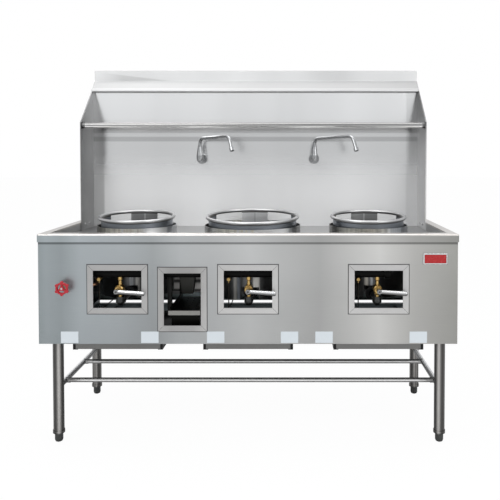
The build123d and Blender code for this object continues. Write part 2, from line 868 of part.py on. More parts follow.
def make_water_pipes():
    """Copper pipes: the rear inlet to the valve, and the valve to the deck."""
    half = water_body_length / 2
    inlet = bent_tube(
        [
            (wheel_x - half, water_y, wheel_z),
            (water_inlet_x, water_y, wheel_z),
            (water_inlet_x, inlet_end, wheel_z),
        ],
        water_pipe_r,
        water_bend_r,
        1.2,
    )
    outlet = bent_tube(
        [
            (wheel_x + half, water_y, wheel_z),
            (water_riser_x, water_y, wheel_z),
            (water_riser_x, water_riser_y, wheel_z),
            (water_riser_x, water_riser_y, deck_under),
        ],
        water_pipe_r,
        water_bend_r,
        1.2,
    )
    elbow = Pos(water_riser_x, water_riser_y, wheel_z + 14) * Cylinder(water_pipe_r + 2.5, 16)
    elbow -= Pos(water_riser_x, water_riser_y, wheel_z + 14) * Cylinder(water_pipe_r - 0.4, 16)
    return gather([inlet, outlet + elbow])


# ---------------------------------------------------------------- waste
def make_drain_chute():
    """Tapered chute from the deck drain down to the waste tray."""
    outside = loft(
        [
            Pos(0, 0, chute_bottom_z) * Rectangle(chute_bottom_w, chute_bottom_w),
            Pos(0, 0, deck_under - sheet) * Rectangle(chute_top_w, chute_top_w),
        ]
    )
    inner_bottom = chute_bottom_w - 2 * sheet
    inner_top = chute_top_w - 2 * sheet
    inside = loft(
        [
            Pos(0, 0, chute_bottom_z) * Rectangle(inner_bottom, inner_bottom),
            Pos(0, 0, deck_under - sheet) * Rectangle(inner_top, inner_top),
        ]
    )
    half = chute_top_w / 2 + 5
    flange = block(-half, half, -half, half, deck_under - sheet, deck_under)
    flange -= rod_z(inner_top / 2 - 4, deck_under - sheet, deck_under)
    return Pos(pass_x, drain_y, 0) * (outside - inside + flange)


def make_waste_tray():
    """Pull-out strainer pan with a folded front lip."""
    half = waste_tray_w / 2
    end = waste_tray_y + waste_tray_length
    bottom = waste_tray_bottom
    pan = block(-half, half, waste_tray_y, end, bottom, waste_tray_top)
    pan -= block(
        thin_sheet - half, half - thin_sheet, waste_tray_y + thin_sheet, end - thin_sheet,
        bottom + thin_sheet, waste_tray_top,
    )
    lip = waste_lip_w / 2
    pan += block(
        -lip, lip, waste_tray_y - 3, waste_tray_y + thin_sheet, bottom + 2, waste_tray_top
    )
    first_y = waste_tray_y + (waste_tray_length - waste_hole_pitch * (waste_row_count - 1)) / 2
    for column in range(waste_column_count):
        for row in range(waste_row_count):
            x = (column - (waste_column_count - 1) / 2) * waste_hole_pitch * 0.8
            y = first_y + row * waste_hole_pitch
            pan -= rod_z(waste_hole_r, bottom, bottom + thin_sheet, x, y)
    return Pos(waste_x, 0, 0) * pan


def make_waste_hangers():
    """Runners of the waste tray, hung from the deck by angle straps and tied at the back."""
    ledge_top = waste_tray_bottom
    wall = runner_wall_x
    runner = block(
        wall - runner_leg, wall + sheet, hanger_y0, hanger_y1, ledge_top - sheet, ledge_top
    )
    runner += block(
        wall, wall + sheet, hanger_y0, hanger_y1, ledge_top - sheet, ledge_top + runner_height
    )
    left = mirror(runner, about=Plane.YZ)
    right = runner
    for y in (front_strap_y, right_rear_strap_y):
        right += angle_strap(wall, y, 1)
    for y in (front_strap_y, hanger_y1 - strap_y):
        left += angle_strap(wall, y, -1)
    tie = block(
        -wall - sheet, wall + sheet, hanger_y1, hanger_y1 + sheet,
        ledge_top - 12, ledge_top + 4,
    )
    return Pos(waste_x, 0, 0) * (left + right + tie)


def angle_strap(wall, y, side):
    """Angle that hangs one point of a runner from the underside of the deck."""
    bottom = waste_tray_bottom
    strap = block(wall, wall + sheet, y, y + strap_y, bottom, deck_under)
    strap += block(wall, wall + strap_x, y, y + sheet, bottom, deck_under)
    return strap if side > 0 else mirror(strap, about=Plane.YZ)


def make_drain_box():
    """Open box under the waste tray, with a round outlet."""
    half = runner_wall_x - runner_leg / 2
    top = waste_tray_bottom - sheet
    box = block(-half, half, drain_box_y0, hanger_y1, drain_box_bottom, top)
    box -= block(
        sheet - half, half - sheet, drain_box_y0 + sheet, hanger_y1 - sheet,
        drain_box_bottom + sheet, top,
    )
    box += rod_z(outlet_r, outlet_bottom, drain_box_bottom + sheet, 0, outlet_y)
    box -= rod_z(outlet_r - sheet, outlet_bottom, drain_box_bottom + sheet, 0, outlet_y)
    return Pos(waste_x, 0, 0) * box


def make_drip_tray(station):
    """Pull-out pan under one station."""
    half = drip_tray_w / 2
    end = drip_tray_y + drip_tray_length
    top = drip_tray_bottom + drip_tray_depth
    pan = block(-half, half, drip_tray_y, end, drip_tray_bottom, top)
    pan -= block(
        thin_sheet - half, half - thin_sheet, drip_tray_y + thin_sheet, end - thin_sheet,
        drip_tray_bottom + thin_sheet, top,
    )
    return Pos(station.x, 0, 0) * pan


def make_tray_runners():
    """A pair of runners under the body for each drip tray."""
    wall = drip_tray_w / 2 + 1.0
    top = panel_bottom
    bottom = top - drip_runner_height
    runner = block(wall, wall + drip_runner_w, drip_tray_y - 1, rear_rail_front, bottom, top)
    runner += block(
        wall - drip_ledge, wall, drip_tray_y - 1, rear_rail_front, bottom, drip_tray_bottom
    )
    pairs = []
    for station in stations:
        pairs += [Pos(station.x, 0, 0) * piece for piece in both_sides(runner).solids()]
    return gather(pairs)


# ---------------------------------------------------------------- stand
def leg_places():
    return [
        (side, end, sign * leg_x, y)
        for end, y in (("front", front_leg_y), ("rear", rear_leg_y))
        for side, sign in (("left", -1), ("right", 1))
    ]


def make_legs():
    """Four tube legs, each with a top plate, a collar and a plug that takes the foot's thread."""
    plug_top = foot_height + foot_shank_length + 4
    leg = rod_z(leg_r, foot_height, leg_top) - rod_z(leg_r - leg_wall, plug_top, leg_top)
    leg += rod_z(leg_collar_r, foot_height, foot_height + leg_collar_h)
    leg -= rod_z(foot_shank_r + seat_gap, foot_height, plug_top - 2)
    half = leg_plate / 2
    leg += block(-half, half, -half, half, leg_top, frame_bottom)
    return gather([Pos(x, y, 0) * leg for _, _, x, y in leg_places()])


def make_foot(x, y):
    """Adjustable foot: a bullet on a threaded shank."""
    top = foot_height - seat_gap
    foot = turned(
        [
            (0, 0),
            (foot_pad_r, 0),
            (foot_r - 2.5, 3),
            (foot_r, 10),
            (foot_r, top),
            (foot_shank_r, top),
            (foot_shank_r, foot_height + foot_shank_length),
            (0, foot_height + foot_shank_length),
        ],
        (x, y, 0),
    )
    return foot


def make_side_rails():
    """Tubes from each front leg to its rear leg."""
    rail = rod_y(side_rail_r, front_leg_y, rear_leg_y, leg_x, rail_z)
    for y in (front_leg_y, rear_leg_y):
        rail -= rod_z(leg_r + seat_gap / 2, 0, rim_top, leg_x, y)
    other = mirror(rail, about=Plane.YZ)
    return gather([rail, other])


def make_cross_rails():
    """Tubes between the side rails, with a weld ring at each end."""
    rails = []
    for y in cross_rail_ys:
        rail = rod_x(cross_rail_r, -leg_x, leg_x, y, rail_z)
        start = leg_x - side_rail_r - weld_ring_length
        rail += rod_x(weld_ring_r, start, leg_x, y, rail_z)
        rail += rod_x(weld_ring_r, -leg_x, -start, y, rail_z)
        for x in (-leg_x, leg_x):
            rail -= rod_y(side_rail_r + seat_gap / 2, front_leg_y, rear_leg_y, x, rail_z)
            rail = max(rail.solids(), key=lambda solid: solid.volume)
        rails.append(rail)
    return gather(rails)


# ---------------------------------------------------------------- splash back
def make_back_panel():
    """Tall back sheet on hat stiffeners, standing in the deck recess."""
    back = back_y + sheet
    panel = block(-splash_inner_x, splash_inner_x, back_y, back, deck_top, splash_top_z)
    for x in (-stiffener_x, -stiffener_inner_x, stiffener_inner_x, stiffener_x):
        half = stiffener_w / 2
        hat = block(x - half, x + half, back, body_depth, deck_top, splash_top_z)
        hat -= block(
            x - half + sheet, x + half - sheet, back, body_depth - sheet,
            deck_top, splash_top_z,
        )
        panel += hat
    for x in (faucet_left_x, faucet_right_x):
        panel -= rod_y(shank_r + 0.5, back_y, back, x, faucet_z)
    return panel


def make_splash_sides():
    """Side sheets of the splash back, inside the rim, with a hemmed front edge."""
    def outline(inset):
        front = splash_front + inset
        top_front = cap_front_y + sheet + inset
        return make_face(
            Polyline(
                (front, deck_top), (front, splash_corner_z - inset * 0.4),
                (top_front, splash_top_z), (body_depth, splash_top_z), (body_depth, deck_top),
                close=True,
            )
        )

    side = along_x(outline(0), splash_inner_x, splash_x)
    hem = along_x(outline(0), splash_x - splash_hem, splash_inner_x)
    hem -= along_x(outline(sheet), splash_x - splash_hem, splash_inner_x)
    side += hem
    for y in screw_ys:
        side -= rod_x(screw_r + seat_gap, splash_inner_x, splash_x, y, screw_z)
    return both_sides(side)


def make_splash_screws():
    """Round-headed screws through the splash sides and the rim, each with its nut."""
    rim_back = splash_x + sheet
    screws = []
    for y in screw_ys:
        head = turned(
            [
                (0, 0),
                (screw_head_r, 0),
                (screw_head_r * 0.85, screw_head_t * 0.55),
                (screw_head_r * 0.45, screw_head_t),
                (0, screw_head_t),
            ],
            (0, 0, 0),
        )
        slot = Pos(0, 0, screw_head_t) * Box(screw_head_r, 1.2, screw_head_t * 0.6)
        screw = Pos(splash_inner_x, y, screw_z) * Rot(0, -90, 0) * (head - slot)
        screw += rod_x(screw_r, splash_inner_x, rim_back + screw_nut_t + 2, y, screw_z)
        screw += rod_x(screw_nut_r, rim_back, rim_back + screw_nut_t, y, screw_z)
        screws += [screw, mirror(screw, about=Plane.YZ)]
    return gather(screws)


def make_splash_cap():
    """Top cap: underside, lip, forward-sloping ledge and upright flange."""
    under = splash_top_z
    flange_front = body_depth - flange_t
    cap = block(-splash_x, splash_x, cap_front_y, body_depth, under, under + sheet)
    ledge = make_face(
        Polyline(
            (cap_front_y, under), (cap_front_y + 2 * sheet, under),
            (body_depth, ledge_top_z - sheet), (body_depth, ledge_top_z),
            (flange_front, ledge_top_z), (cap_front_y, under + sheet), close=True,
        )
    )
    cap += along_x(ledge, -splash_x, splash_x)
    cap += block(
        -splash_x, splash_x, flange_front, body_depth, ledge_top_z - sheet,
        ledge_top_z + flange_height,
    )
    lip_x = splash_x - splash_hem - seat_gap
    cap += block(-lip_x, lip_x, cap_front_y, cap_front_y + sheet, under - cap_lip, under)
    cheek = make_face(
        Polyline(
            (cap_front_y + sheet, under), (flange_front, ledge_top_z),
            (body_depth, ledge_top_z), (body_depth, under), close=True,
        )
    )
    return cap + both_sides(along_x(cheek, splash_x - sheet, splash_x))


def make_pot_rail():
    """Round rail between the splash sides."""
    end = splash_inner_x - seat_gap
    rail = rod_x(pot_rail_r, -end, end, pot_rail_y, pot_rail_z)
    return rail - rod_x(pot_rail_r - pot_rail_wall, -end, end, pot_rail_y, pot_rail_z)


def make_rail_mounts():
    """Round sockets that hold the ends of the pot rail."""
    start = splash_inner_x - rail_mount_length
    mount = rod_x(rail_mount_r, splash_inner_x - 4, splash_inner_x, pot_rail_y, pot_rail_z)
    mount += rod_x(rail_mount_r - 4, start, splash_inner_x, pot_rail_y, pot_rail_z)
    mount -= rod_x(
        pot_rail_r + seat_gap / 2, start, splash_inner_x, pot_rail_y, pot_rail_z
    )
    return both_sides(mount)


# ---------------------------------------------------------------- faucets
def make_faucet_base(x):
    """Wall part of a faucet: shank with lock nut, escutcheon, arm, elbow and swivel sleeve."""
    plate = rod_y(escutcheon_r, back_y - escutcheon_t, back_y, 0, faucet_z)
    plate = chamfer(plate.faces().sort_by(Axis.Y)[0].edges(), 3)
    shank = rod_y(shank_r, back_y - 1, inlet_end, 0, faucet_z)
    shank -= threaded_end(shank_r, shank_thread, 0, faucet_z)
    base = plate + shank
    base += rod_y(lock_nut_r, back_y + sheet, back_y + sheet + lock_nut_t, 0, faucet_z)
    base += rod_y(faucet_arm_r, faucet_y, back_y, 0, faucet_z)
    sleeve = turned(
        [
            (0, sleeve_bottom),
            (sleeve_r * 0.55, sleeve_bottom),
            (sleeve_r * 0.9, sleeve_bottom + sleeve_r * 0.3),
            (sleeve_r, sleeve_bottom + sleeve_r * 0.75),
            (sleeve_r, faucet_z + faucet_arm_r * 1.7),
            (sleeve_top_r, sleeve_top),
            (0, sleeve_top),
        ],
        (0, faucet_y, 0),
    )
    base += sleeve
    base -= rod_z(spout_r + seat_gap, sleeve_top - spout_plug_length, sleeve_top, 0, faucet_y)
    return Pos(x, 0, 0) * base


def make_spout(x):
    """Swing spout: post, long arm, turned-down end and aerator."""
    post_bottom = sleeve_top - spout_plug_length + seat_gap
    end_z = spout_z + spout_rise
    bottom_z = end_z - spout_drop
    points = [
        (0, 0, post_bottom),
        (0, 0, spout_z),
        (0, -spout_reach, end_z),
        (0, -spout_reach - spout_lean, bottom_z),
    ]
    tube = bent_tube(points, spout_r, spout_bend_r)
    ring = rod_z(spout_r + 3, sleeve_top + seat_gap, sleeve_top + 8)
    spout = tube + ring
    spout -= bent_tube(points, spout_r - spout_wall, spout_bend_r)
    end = Plane((0, -spout_reach - spout_lean, bottom_z), z_dir=(0, -spout_lean, -spout_drop))
    aerator = end * (Pos(0, 0, -aerator_length * 0.8) * Cylinder(
        aerator_r, aerator_length, align=(Align.CENTER, Align.CENTER, Align.MIN)
    ))
    aerator -= end * Cylinder(spout_r - 0.4, 4 * aerator_length)
    return Pos(x, faucet_y, 0) * Rot(0, 0, spout_angle) * (spout + aerator)


# ---------------------------------------------------------------- all pieces
pieces = {
    "worktop": make_worktop(),
    "front_panel": make_front_panel(),
    "side_panels": make_side_panels(),
    "rear_panel": make_rear_panel(),
    "base_frame": make_base_frame(),
    "window_trims": make_window_trims(),
    "label_plates": make_label_plates(),
    "badge": make_badge(),
    "gas_manifold": make_gas_manifold(),
    "manifold_brackets": make_manifold_brackets(),
    "supply_elbows": make_supply_elbows(),
    "chamber_floors": make_chamber_floors(),
    "pilot_lines": make_pilot_lines(),
    "handwheel": make_handwheel(),
    "wheel_stem": make_wheel_stem(),
    "water_valve": make_water_valve(),
    "water_pipes": make_water_pipes(),
    "drain_chute": make_drain_chute(),
    "waste_tray": make_waste_tray(),
    "waste_hangers": make_waste_hangers(),
    "drain_box": make_drain_box(),
    "tray_runners": make_tray_runners(),
    "legs": make_legs(),
    "side_rails": make_side_rails(),
    "cross_rails": make_cross_rails(),
    "back_panel": make_back_panel(),
    "splash_sides": make_splash_sides(),
    "splash_screws": make_splash_screws(),
    "splash_cap": make_splash_cap(),
    "pot_rail": make_pot_rail(),
    "rail_mounts": make_rail_mounts(),
    "faucet_base_left": make_faucet_base(faucet_left_x),
    "faucet_base_right": make_faucet_base(faucet_right_x),
    "spout_left": make_spout(faucet_left_x),
    "spout_right": make_spout(faucet_right_x),
}
for station in stations:
    pieces[f"ring_collar_{station.name}"] = make_ring_collar(station)
    pieces[f"chamber_{station.name}"] = make_chamber(station)
    pieces[f"burner_{station.name}"] = make_burner(station)
    pieces[f"wok_ring_{station.name}"] = make_wok_ring(station)
    pieces[f"gas_valve_{station.name}"] = make_gas_valve(station)
    pieces[f"lever_{station.name}"] = make_lever(station)
    pieces[f"drip_tray_{station.name}"] = make_drip_tray(station)
for side, end, x, y in leg_places():
    pieces[f"foot_{end}_{side}"] = make_foot(x, y)

# the finished frame has its origin on the floor, under the middle of the whole range
os.makedirs("parts", exist_ok=True)
for name, shape in pieces.items():
    export_step(Pos(0, -middle_y, 0) * shape, f"parts/{name}.step")
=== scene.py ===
"""Looks, small dressing and studio of the wok range.

All lengths are metres in the shared frame: X to the right, Y to the back, Z up from the floor.
"""

import json
import math

import bmesh
import bpy
from mathutils import Matrix, Vector


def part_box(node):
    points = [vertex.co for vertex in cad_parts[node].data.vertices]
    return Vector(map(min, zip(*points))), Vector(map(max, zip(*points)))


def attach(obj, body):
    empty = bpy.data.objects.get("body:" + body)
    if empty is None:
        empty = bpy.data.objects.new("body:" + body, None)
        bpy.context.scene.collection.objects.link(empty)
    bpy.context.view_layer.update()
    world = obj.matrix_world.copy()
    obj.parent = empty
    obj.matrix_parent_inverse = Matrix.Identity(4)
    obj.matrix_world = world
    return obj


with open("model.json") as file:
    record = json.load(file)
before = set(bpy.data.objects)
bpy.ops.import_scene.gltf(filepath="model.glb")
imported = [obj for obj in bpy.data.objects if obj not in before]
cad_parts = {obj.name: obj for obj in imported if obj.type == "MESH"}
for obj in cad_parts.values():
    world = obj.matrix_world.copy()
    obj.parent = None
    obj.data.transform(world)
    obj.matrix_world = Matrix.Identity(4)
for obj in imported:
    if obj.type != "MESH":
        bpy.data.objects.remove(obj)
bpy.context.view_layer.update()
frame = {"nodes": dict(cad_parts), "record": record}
nodes = frame["nodes"]

# ------------------------------------------------------------ places on the object


def reach(node, letter):
    """The lowest and highest place of a piece of the frame along X, Y or Z."""
    low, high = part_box(node)
    index = "XYZ".index(letter)
    return round(low[index], 5), round(high[index], 5)


def middle(node, letter):
    """The place halfway along a piece of the frame."""
    return round(sum(reach(node, letter)) / 2, 5)


def beside(place, start, end):
    """A span that is given from a place."""
    return place + start, place + end


BURNER_X = {name: middle(f"ring_collar_{name}", "X") for name in ("left", "centre", "right")}
BURNER_PITCH = BURNER_X["right"] - BURNER_X["centre"]
RIM_FRONT = reach("worktop", "Y")[0]
RIM_FOOT, RIM_TOP = reach("worktop", "Z")
LEG_X = middle("foot_front_right", "X")
LEG_FRONT_Y = middle("foot_front_right", "Y")
LEG_REAR_Y = middle("foot_rear_right", "Y")
LEG_TOP = reach("legs", "Z")[1]
RAIL_Z = middle("side_rails", "Z")
LEVER_Z = 0.647
# openings of the windows, inside their trims: middle X, middle Z, half width and half height
BURNER_WINDOW_Z = 0.6535
BURNER_WINDOW_HALF = (0.0993, 0.0768)
TALL_WINDOW = (-0.269, 0.6115, 0.076, 0.1075)
WINDOWS = [(x, BURNER_WINDOW_Z, *BURNER_WINDOW_HALF) for x in BURNER_X.values()]
WINDOWS.append(TALL_WINDOW)
TRIM_WIDTH = 0.0245

# ------------------------------------------------------------ nodes


def shade(colour, amount):
    """A lighter or darker colour."""
    return tuple(min(1.0, c * amount) for c in colour)


def grey(value, warm=0.0):
    """A neutral colour, a little warmer where asked."""
    return (value * (1 + warm), value, value * (1 - warm))


def greys(*stops, warm=0.0):
    """Ramp stops of neutral tones from (position, value) pairs."""
    return [(place, grey(value, warm)) for place, value in stops]


NOISE_SPAN = (0.3, 0.7)         # most of a noise lies between these


class Nodes:
    """Short ways to add and link the nodes of one tree. What they return is a node's output."""

    def __init__(self, tree):
        self.tree = tree

    def add(self, kind, **settings):
        node = self.tree.nodes.new(kind)
        for key, value in settings.items():
            setattr(node, key, value)
        return node

    def put(self, socket, value):
        """Gives a socket a number, a colour or another node's output."""
        if isinstance(value, bpy.types.NodeSocket):
            self.tree.links.new(value, socket)
        elif isinstance(value, tuple):
            socket.default_value = (*value, 1)
        else:
            socket.default_value = value

    def at(self, letter, source="Object"):
        """One of the object's own coordinates, in metres."""
        place = self.add("ShaderNodeTexCoord")
        axes = self.add("ShaderNodeSeparateXYZ")
        self.put(axes.inputs["Vector"], place.outputs[source])
        return axes.outputs[letter]

    def noise(self, scale, stretch=(1, 1, 1), detail=2.0, roughness=0.5):
        """Noise in the object's own metres, closer together where the stretch is large."""
        place = self.add("ShaderNodeTexCoord")
        mapping = self.add("ShaderNodeMapping")
        mapping.inputs["Scale"].default_value = stretch
        texture = self.add("ShaderNodeTexNoise")
        self.put(texture.inputs["Scale"], scale)
        self.put(texture.inputs["Detail"], detail)
        self.put(texture.inputs["Roughness"], roughness)
        self.put(mapping.inputs["Vector"], place.outputs["Object"])
        self.put(texture.inputs["Vector"], mapping.outputs["Vector"])
        return texture.outputs["Fac"]

    def grain(self, stretch=(1, 1, 1), scale=6):
        """Fine lines or pebbles: noise with more detail."""
        return self.noise(scale, stretch, 3, 0.6)

    def spread(self, value, low, high, span=NOISE_SPAN):
        """A value that runs over a span, turned into one from low to high."""
        node = self.add("ShaderNodeMapRange")
        self.put(node.inputs["From Min"], span[0])
        self.put(node.inputs["From Max"], span[1])
        self.put(node.inputs["To Min"], low)
        self.put(node.inputs["To Max"], high)
        self.put(node.inputs["Value"], value)
        return node.outputs["Result"]

    def rising(self, value, span):
        return self.spread(value, 0, 1, span)

    def falling(self, value, span):
        return self.spread(value, 1, 0, span)

    def share(self, factor, start, end):
        """Start where the factor is 0 and end where it is 1."""
        return self.spread(factor, start, end, (0, 1))

    def math(self, operation, *values):
        node = self.add("ShaderNodeMath", operation=operation)
        for socket, value in zip(node.inputs, values):
            self.put(socket, value)
        return node.outputs[0]

    def product(self, first, second):
        return self.math("MULTIPLY", first, second)

    def larger(self, first, second):
        return self.math("MAXIMUM", first, second)

    def band(self, value, span, soft):
        """1 within the span, with soft ends."""
        rise = self.rising(value, beside(span[0], -soft, soft))
        fall = self.falling(value, beside(span[1], -soft, soft))
        return self.product(rise, fall)

    def ramp(self, value, stops):
        """A colour ramp over a factor, from (position, colour) stops."""
        node = self.add("ShaderNodeValToRGB")
        elements = node.color_ramp.elements
        elements[0].position, elements[1].position = stops[0][0], stops[-1][0]
        elements[0].color, elements[1].color = (*stops[0][1], 1), (*stops[-1][1], 1)
        for position, colour in stops[1:-1]:
            elements.new(position).color = (*colour, 1)
        self.put(node.inputs["Fac"], value)
        return node.outputs["Color"]

    def scaled(self, colour, factor):
        node = self.add("ShaderNodeVectorMath", operation="SCALE")
        self.put(node.inputs[0], colour)
        self.put(node.inputs["Scale"], factor)
        return node.outputs["Vector"]

    def tinted(self, first, second):
        """Two colours multiplied."""
        node = self.add("ShaderNodeVectorMath", operation="MULTIPLY")
        self.put(node.inputs[0], first)
        self.put(node.inputs[1], second)
        return node.outputs["Vector"]

    def mixed(self, factor, first, second):
        """First where the factor is 0 and second where it is 1."""
        node = self.add("ShaderNodeMix", data_type="RGBA")
        self.put(node.inputs["Factor"], factor)
        self.put(node.inputs["A"], first)
        self.put(node.inputs["B"], second)
        return node.outputs["Result"]

    def blended(self, factor, first, second):
        """Two shaders mixed by a factor."""
        node = self.add("ShaderNodeMixShader")
        for socket, value in zip(node.inputs, (factor, first, second)):
            self.put(socket, value)
        return node.outputs[0]


class Surface(Nodes):
    """A material in the making."""

    def __init__(self, name):
        self.material = bpy.data.materials.new(name)
        self.material.use_nodes = True
        super().__init__(self.material.node_tree)
        self.shader = self.tree.nodes["Principled BSDF"]

    def finish(self, tone, rough, metallic=1.0, relief=None, strength=0.08, depth=0.0004):
        """Colour, roughness, metal and fine relief. Returns the material."""
        self.put(self.shader.inputs["Base Color"], tone)
        self.put(self.shader.inputs["Roughness"], rough)
        self.put(self.shader.inputs["Metallic"], metallic)
        if relief is not None:
            node = self.add("ShaderNodeBump")
            self.put(node.inputs["Strength"], strength)
            self.put(node.inputs["Distance"], depth)
            self.put(node.inputs["Height"], relief)
            self.put(self.shader.inputs["Normal"], node.outputs["Normal"])
        return self.material


# ------------------------------------------------------------ plain finishes
# grains: how close together the lines lie along X, Y and Z
LEVEL = (2, 40, 400)
LEVEL_COARSE = (2, 40, 200)
UPRIGHT = (200, 200, 3)
EVEN = (60, 60, 60)


def steel(name, colour, rough, grain=LEVEL, drift=0.06, wear=0.05):
    """Brushed steel: fine lines in the grain's long direction, soft patches of tone."""
    paint = Surface(name)
    lines = paint.grain(grain)
    patches = paint.noise(1.3)
    both = paint.math("MULTIPLY_ADD", lines, 0.35, paint.spread(patches, 0.0, 0.65))
    tone = paint.mixed(both, shade(colour, 1 - drift), shade(colour, 1 + drift))
    return paint.finish(tone, paint.share(both, rough - wear, rough + wear), 1.0, lines)


def cast(name, colour, rough, size, depth, metallic=0.6, drift=0.25, gloss=0.5, wear=0.08):
    """Cast or painted metal: fine pebble and uneven tone."""
    paint = Surface(name)
    pebble = paint.grain(scale=size)
    tone = paint.mixed(pebble, shade(colour, 1 - drift), shade(colour, 1 + drift))
    paint.put(paint.shader.inputs["Specular IOR Level"], gloss)
    roughness = paint.spread(pebble, rough - wear, rough + wear)
    return paint.finish(tone, roughness, metallic, pebble, 0.25, depth)


# ------------------------------------------------------------ front panel and worktop
PANEL_X = (-0.86, 0.86)
PANEL_Z = (0.43, 0.84)
# painted bands of light across the front panel, from its left end to its right
PANEL_LIGHT_TONES = [
    (0.0, (0.294, 0.326, 0.336)),
    (0.02, (0.326, 0.357, 0.370)),
    (0.055, (0.299, 0.328, 0.338)),
    (0.10, (0.375, 0.404, 0.419)),
    (0.198, (0.358, 0.380, 0.392)),
    (0.273, (0.322, 0.337, 0.342)),
    (0.34, (0.415, 0.427, 0.430)),
    (0.415, (0.434, 0.440, 0.441)),
    (0.505, (0.501, 0.505, 0.501)),
    (0.67, (0.387, 0.386, 0.380)),
    (0.813, (0.594, 0.588, 0.571)),
    (0.896, (0.441, 0.434, 0.418)),
    (1.0, (0.338, 0.335, 0.315)),
]
# painted light: share of the tone at the panel's foot and head
PANEL_FALL = (0.86, 1.12)
# painted shade in a thin line round the outer edge of each window trim
TRIM_SHADE_WIDTH = 0.0022
TRIM_SHADE_TONE = grey(0.06)
RIM_SHADOW_Z = beside(RIM_FOOT, -0.0045, 0.0005)
RIM_SHADOW_SHARE = 0.42

# the rim's face takes the panel's painted bands of light, lifted, and less so towards the right
RIM_LIFT = 1.14
RIM_FADE = 0.35
RIM_FACE_Y = beside(RIM_FRONT, 0.006, 0.008)
CROWN_Z = beside(RIM_TOP, -0.009, -0.0035)
# painted light and shade across the deck, and a painted highlight along the rim's crown, from left
# to right
DECK_LIGHT_TONES = greys((0.0, 0.36), (0.06, 0.42), (0.3, 0.45), (0.65, 0.52), (1.0, 0.42))
CROWN_HIGHLIGHT_TONES = greys((0.0, 0.55), (0.3, 0.64), (0.5, 0.75), (1.0, 0.58), warm=0.05)


def panel_tone(paint, lift=1.0, fade=0.0):
    """The panel's soft bands of light from left to right, brighter near its top."""
    stops = [(place, shade(colour, lift - fade * place)) for place, colour in PANEL_LIGHT_TONES]
    tone = paint.ramp(paint.rising(paint.at("X"), PANEL_X), stops)
    fall = paint.spread(paint.at("Z"), *PANEL_FALL, PANEL_Z)
    return paint.scaled(tone, fall)


def outline_mask(paint, x, z, half_w, half_h, width):
    """1 on a line of the given width round an upright rectangle."""
    over = []
    for letter, place, half in (("X", x, half_w), ("Z", z, half_h)):
        run = paint.math("SUBTRACT", paint.at(letter), place)
        over.append(paint.math("SUBTRACT", paint.math("ABSOLUTE", run), half))
    return paint.falling(paint.larger(*over), (width * 0.6, width * 1.6))


def panel_steel():
    """Front panel: level brushing in soft painted bands of light, with painted shade round the
    window trims.
    """
    paint = Surface("panel_steel")
    lines = paint.grain(LEVEL)
    cloud = paint.noise(1.6, (1, 1, 1.4))
    dim = paint.product(paint.spread(lines, 0.97, 1.03), paint.spread(cloud, 0.94, 1.06))
    tone = paint.scaled(panel_tone(paint), dim)
    # painted shade round each window trim
    seam_and_trim_shade = None
    for x, z, half_w, half_h in WINDOWS:
        line = outline_mask(paint, x, z, half_w + TRIM_WIDTH, half_h + TRIM_WIDTH, TRIM_SHADE_WIDTH)
        seam_and_trim_shade = line if seam_and_trim_shade is None else paint.larger(seam_and_trim_shade, line)
    tone = paint.mixed(seam_and_trim_shade, tone, TRIM_SHADE_TONE)
    tone = paint.scaled(tone, paint.spread(paint.at("Z"), 1.0, RIM_SHADOW_SHARE, RIM_SHADOW_Z))
    return paint.finish(tone, paint.spread(cloud, 0.34, 0.42), 1.0, lines)


def worktop_steel():
    """Worktop: a rim top with a painted highlight, a rim face with the panel's painted light, and a
    duller deck with painted light and shade.
    """
    paint = Surface("worktop_steel")
    lines = paint.grain(LEVEL)
    cloud = paint.noise(2.0)
    across = paint.rising(paint.at("X"), PANEL_X)
    deck = paint.ramp(across, DECK_LIGHT_TONES)
    behind = paint.rising(paint.at("Y"), RIM_FACE_Y)
    tone = paint.mixed(behind, panel_tone(paint, RIM_LIFT, RIM_FADE), deck)
    crown = paint.rising(paint.at("Z"), CROWN_Z)
    tone = paint.mixed(crown, tone, paint.ramp(across, CROWN_HIGHLIGHT_TONES))
    dim = paint.product(paint.spread(lines, 0.97, 1.03), paint.spread(cloud, 0.95, 1.05))
    return paint.finish(paint.scaled(tone, dim), paint.spread(cloud, 0.30, 0.38), 1.0, lines)


# ------------------------------------------------------------ splash back
BACK_FRONT = reach("back_panel", "Y")[0]
BACK_FACE_Y = beside(BACK_FRONT, 0.0005, 0.0020)
BACK_Z = (0.84, 1.54)
# painted light on the splash back, brighter upwards
BACK_LIGHT_TONES = greys((0.0, 0.70), (0.35, 0.71), (0.6, 0.73), (0.68, 0.72), (0.78, 0.91), (1.0, 0.93))
# level reflections: foot and head, softness and share of the tone
BACK_BANDS = [((1.3129, 1.3360), 0.0025, 0.76), ((1.2705, 1.2937), 0.0030, 0.74)]
# reflections of the splash sides, whose front edge leans back above the bend
BEND_Z = 1.356
BEND_LEAN = 0.32
LEFT_REFLECTION_X = (0.762, 0.772)
RIGHT_REFLECTION_X = (0.757, 0.767)
RIGHT_REFLECTION_SHARE = 0.86
DUSK_Z, DUSK_SHARES = (1.00, 1.24), (0.36, 0.12)
# the panel turns from dull to polished upwards
BACK_ROUGH_Z, BACK_ROUGH = (1.02, 1.16), (0.42, 0.17)
BACK_METAL_Z, BACK_METAL = (1.00, 1.22), (0.12, 1.0)

# cap: the ledge lies under the flange, with a fold between them
CAP_X = (-0.82, 0.82)
# painted light and shade: the ledge dimmer and the flange paler, from left to right
LEDGE_LIGHT_TONES = greys((0.0, 0.40), (0.5, 0.31), (1.0, 0.28))
FLANGE_LIGHT_TONES = greys((0.0, 0.56), (0.5, 0.60), (1.0, 0.56))
FLANGE_Z = (1.5775, 1.5795)
FOLD_Z = (1.5765, 1.5795)
LEDGE_FOOT_Z = (1.528, 1.537)
# painted highlights on the fold and at the ledge's foot
FOLD_HIGHLIGHT_SHARE = 1.16
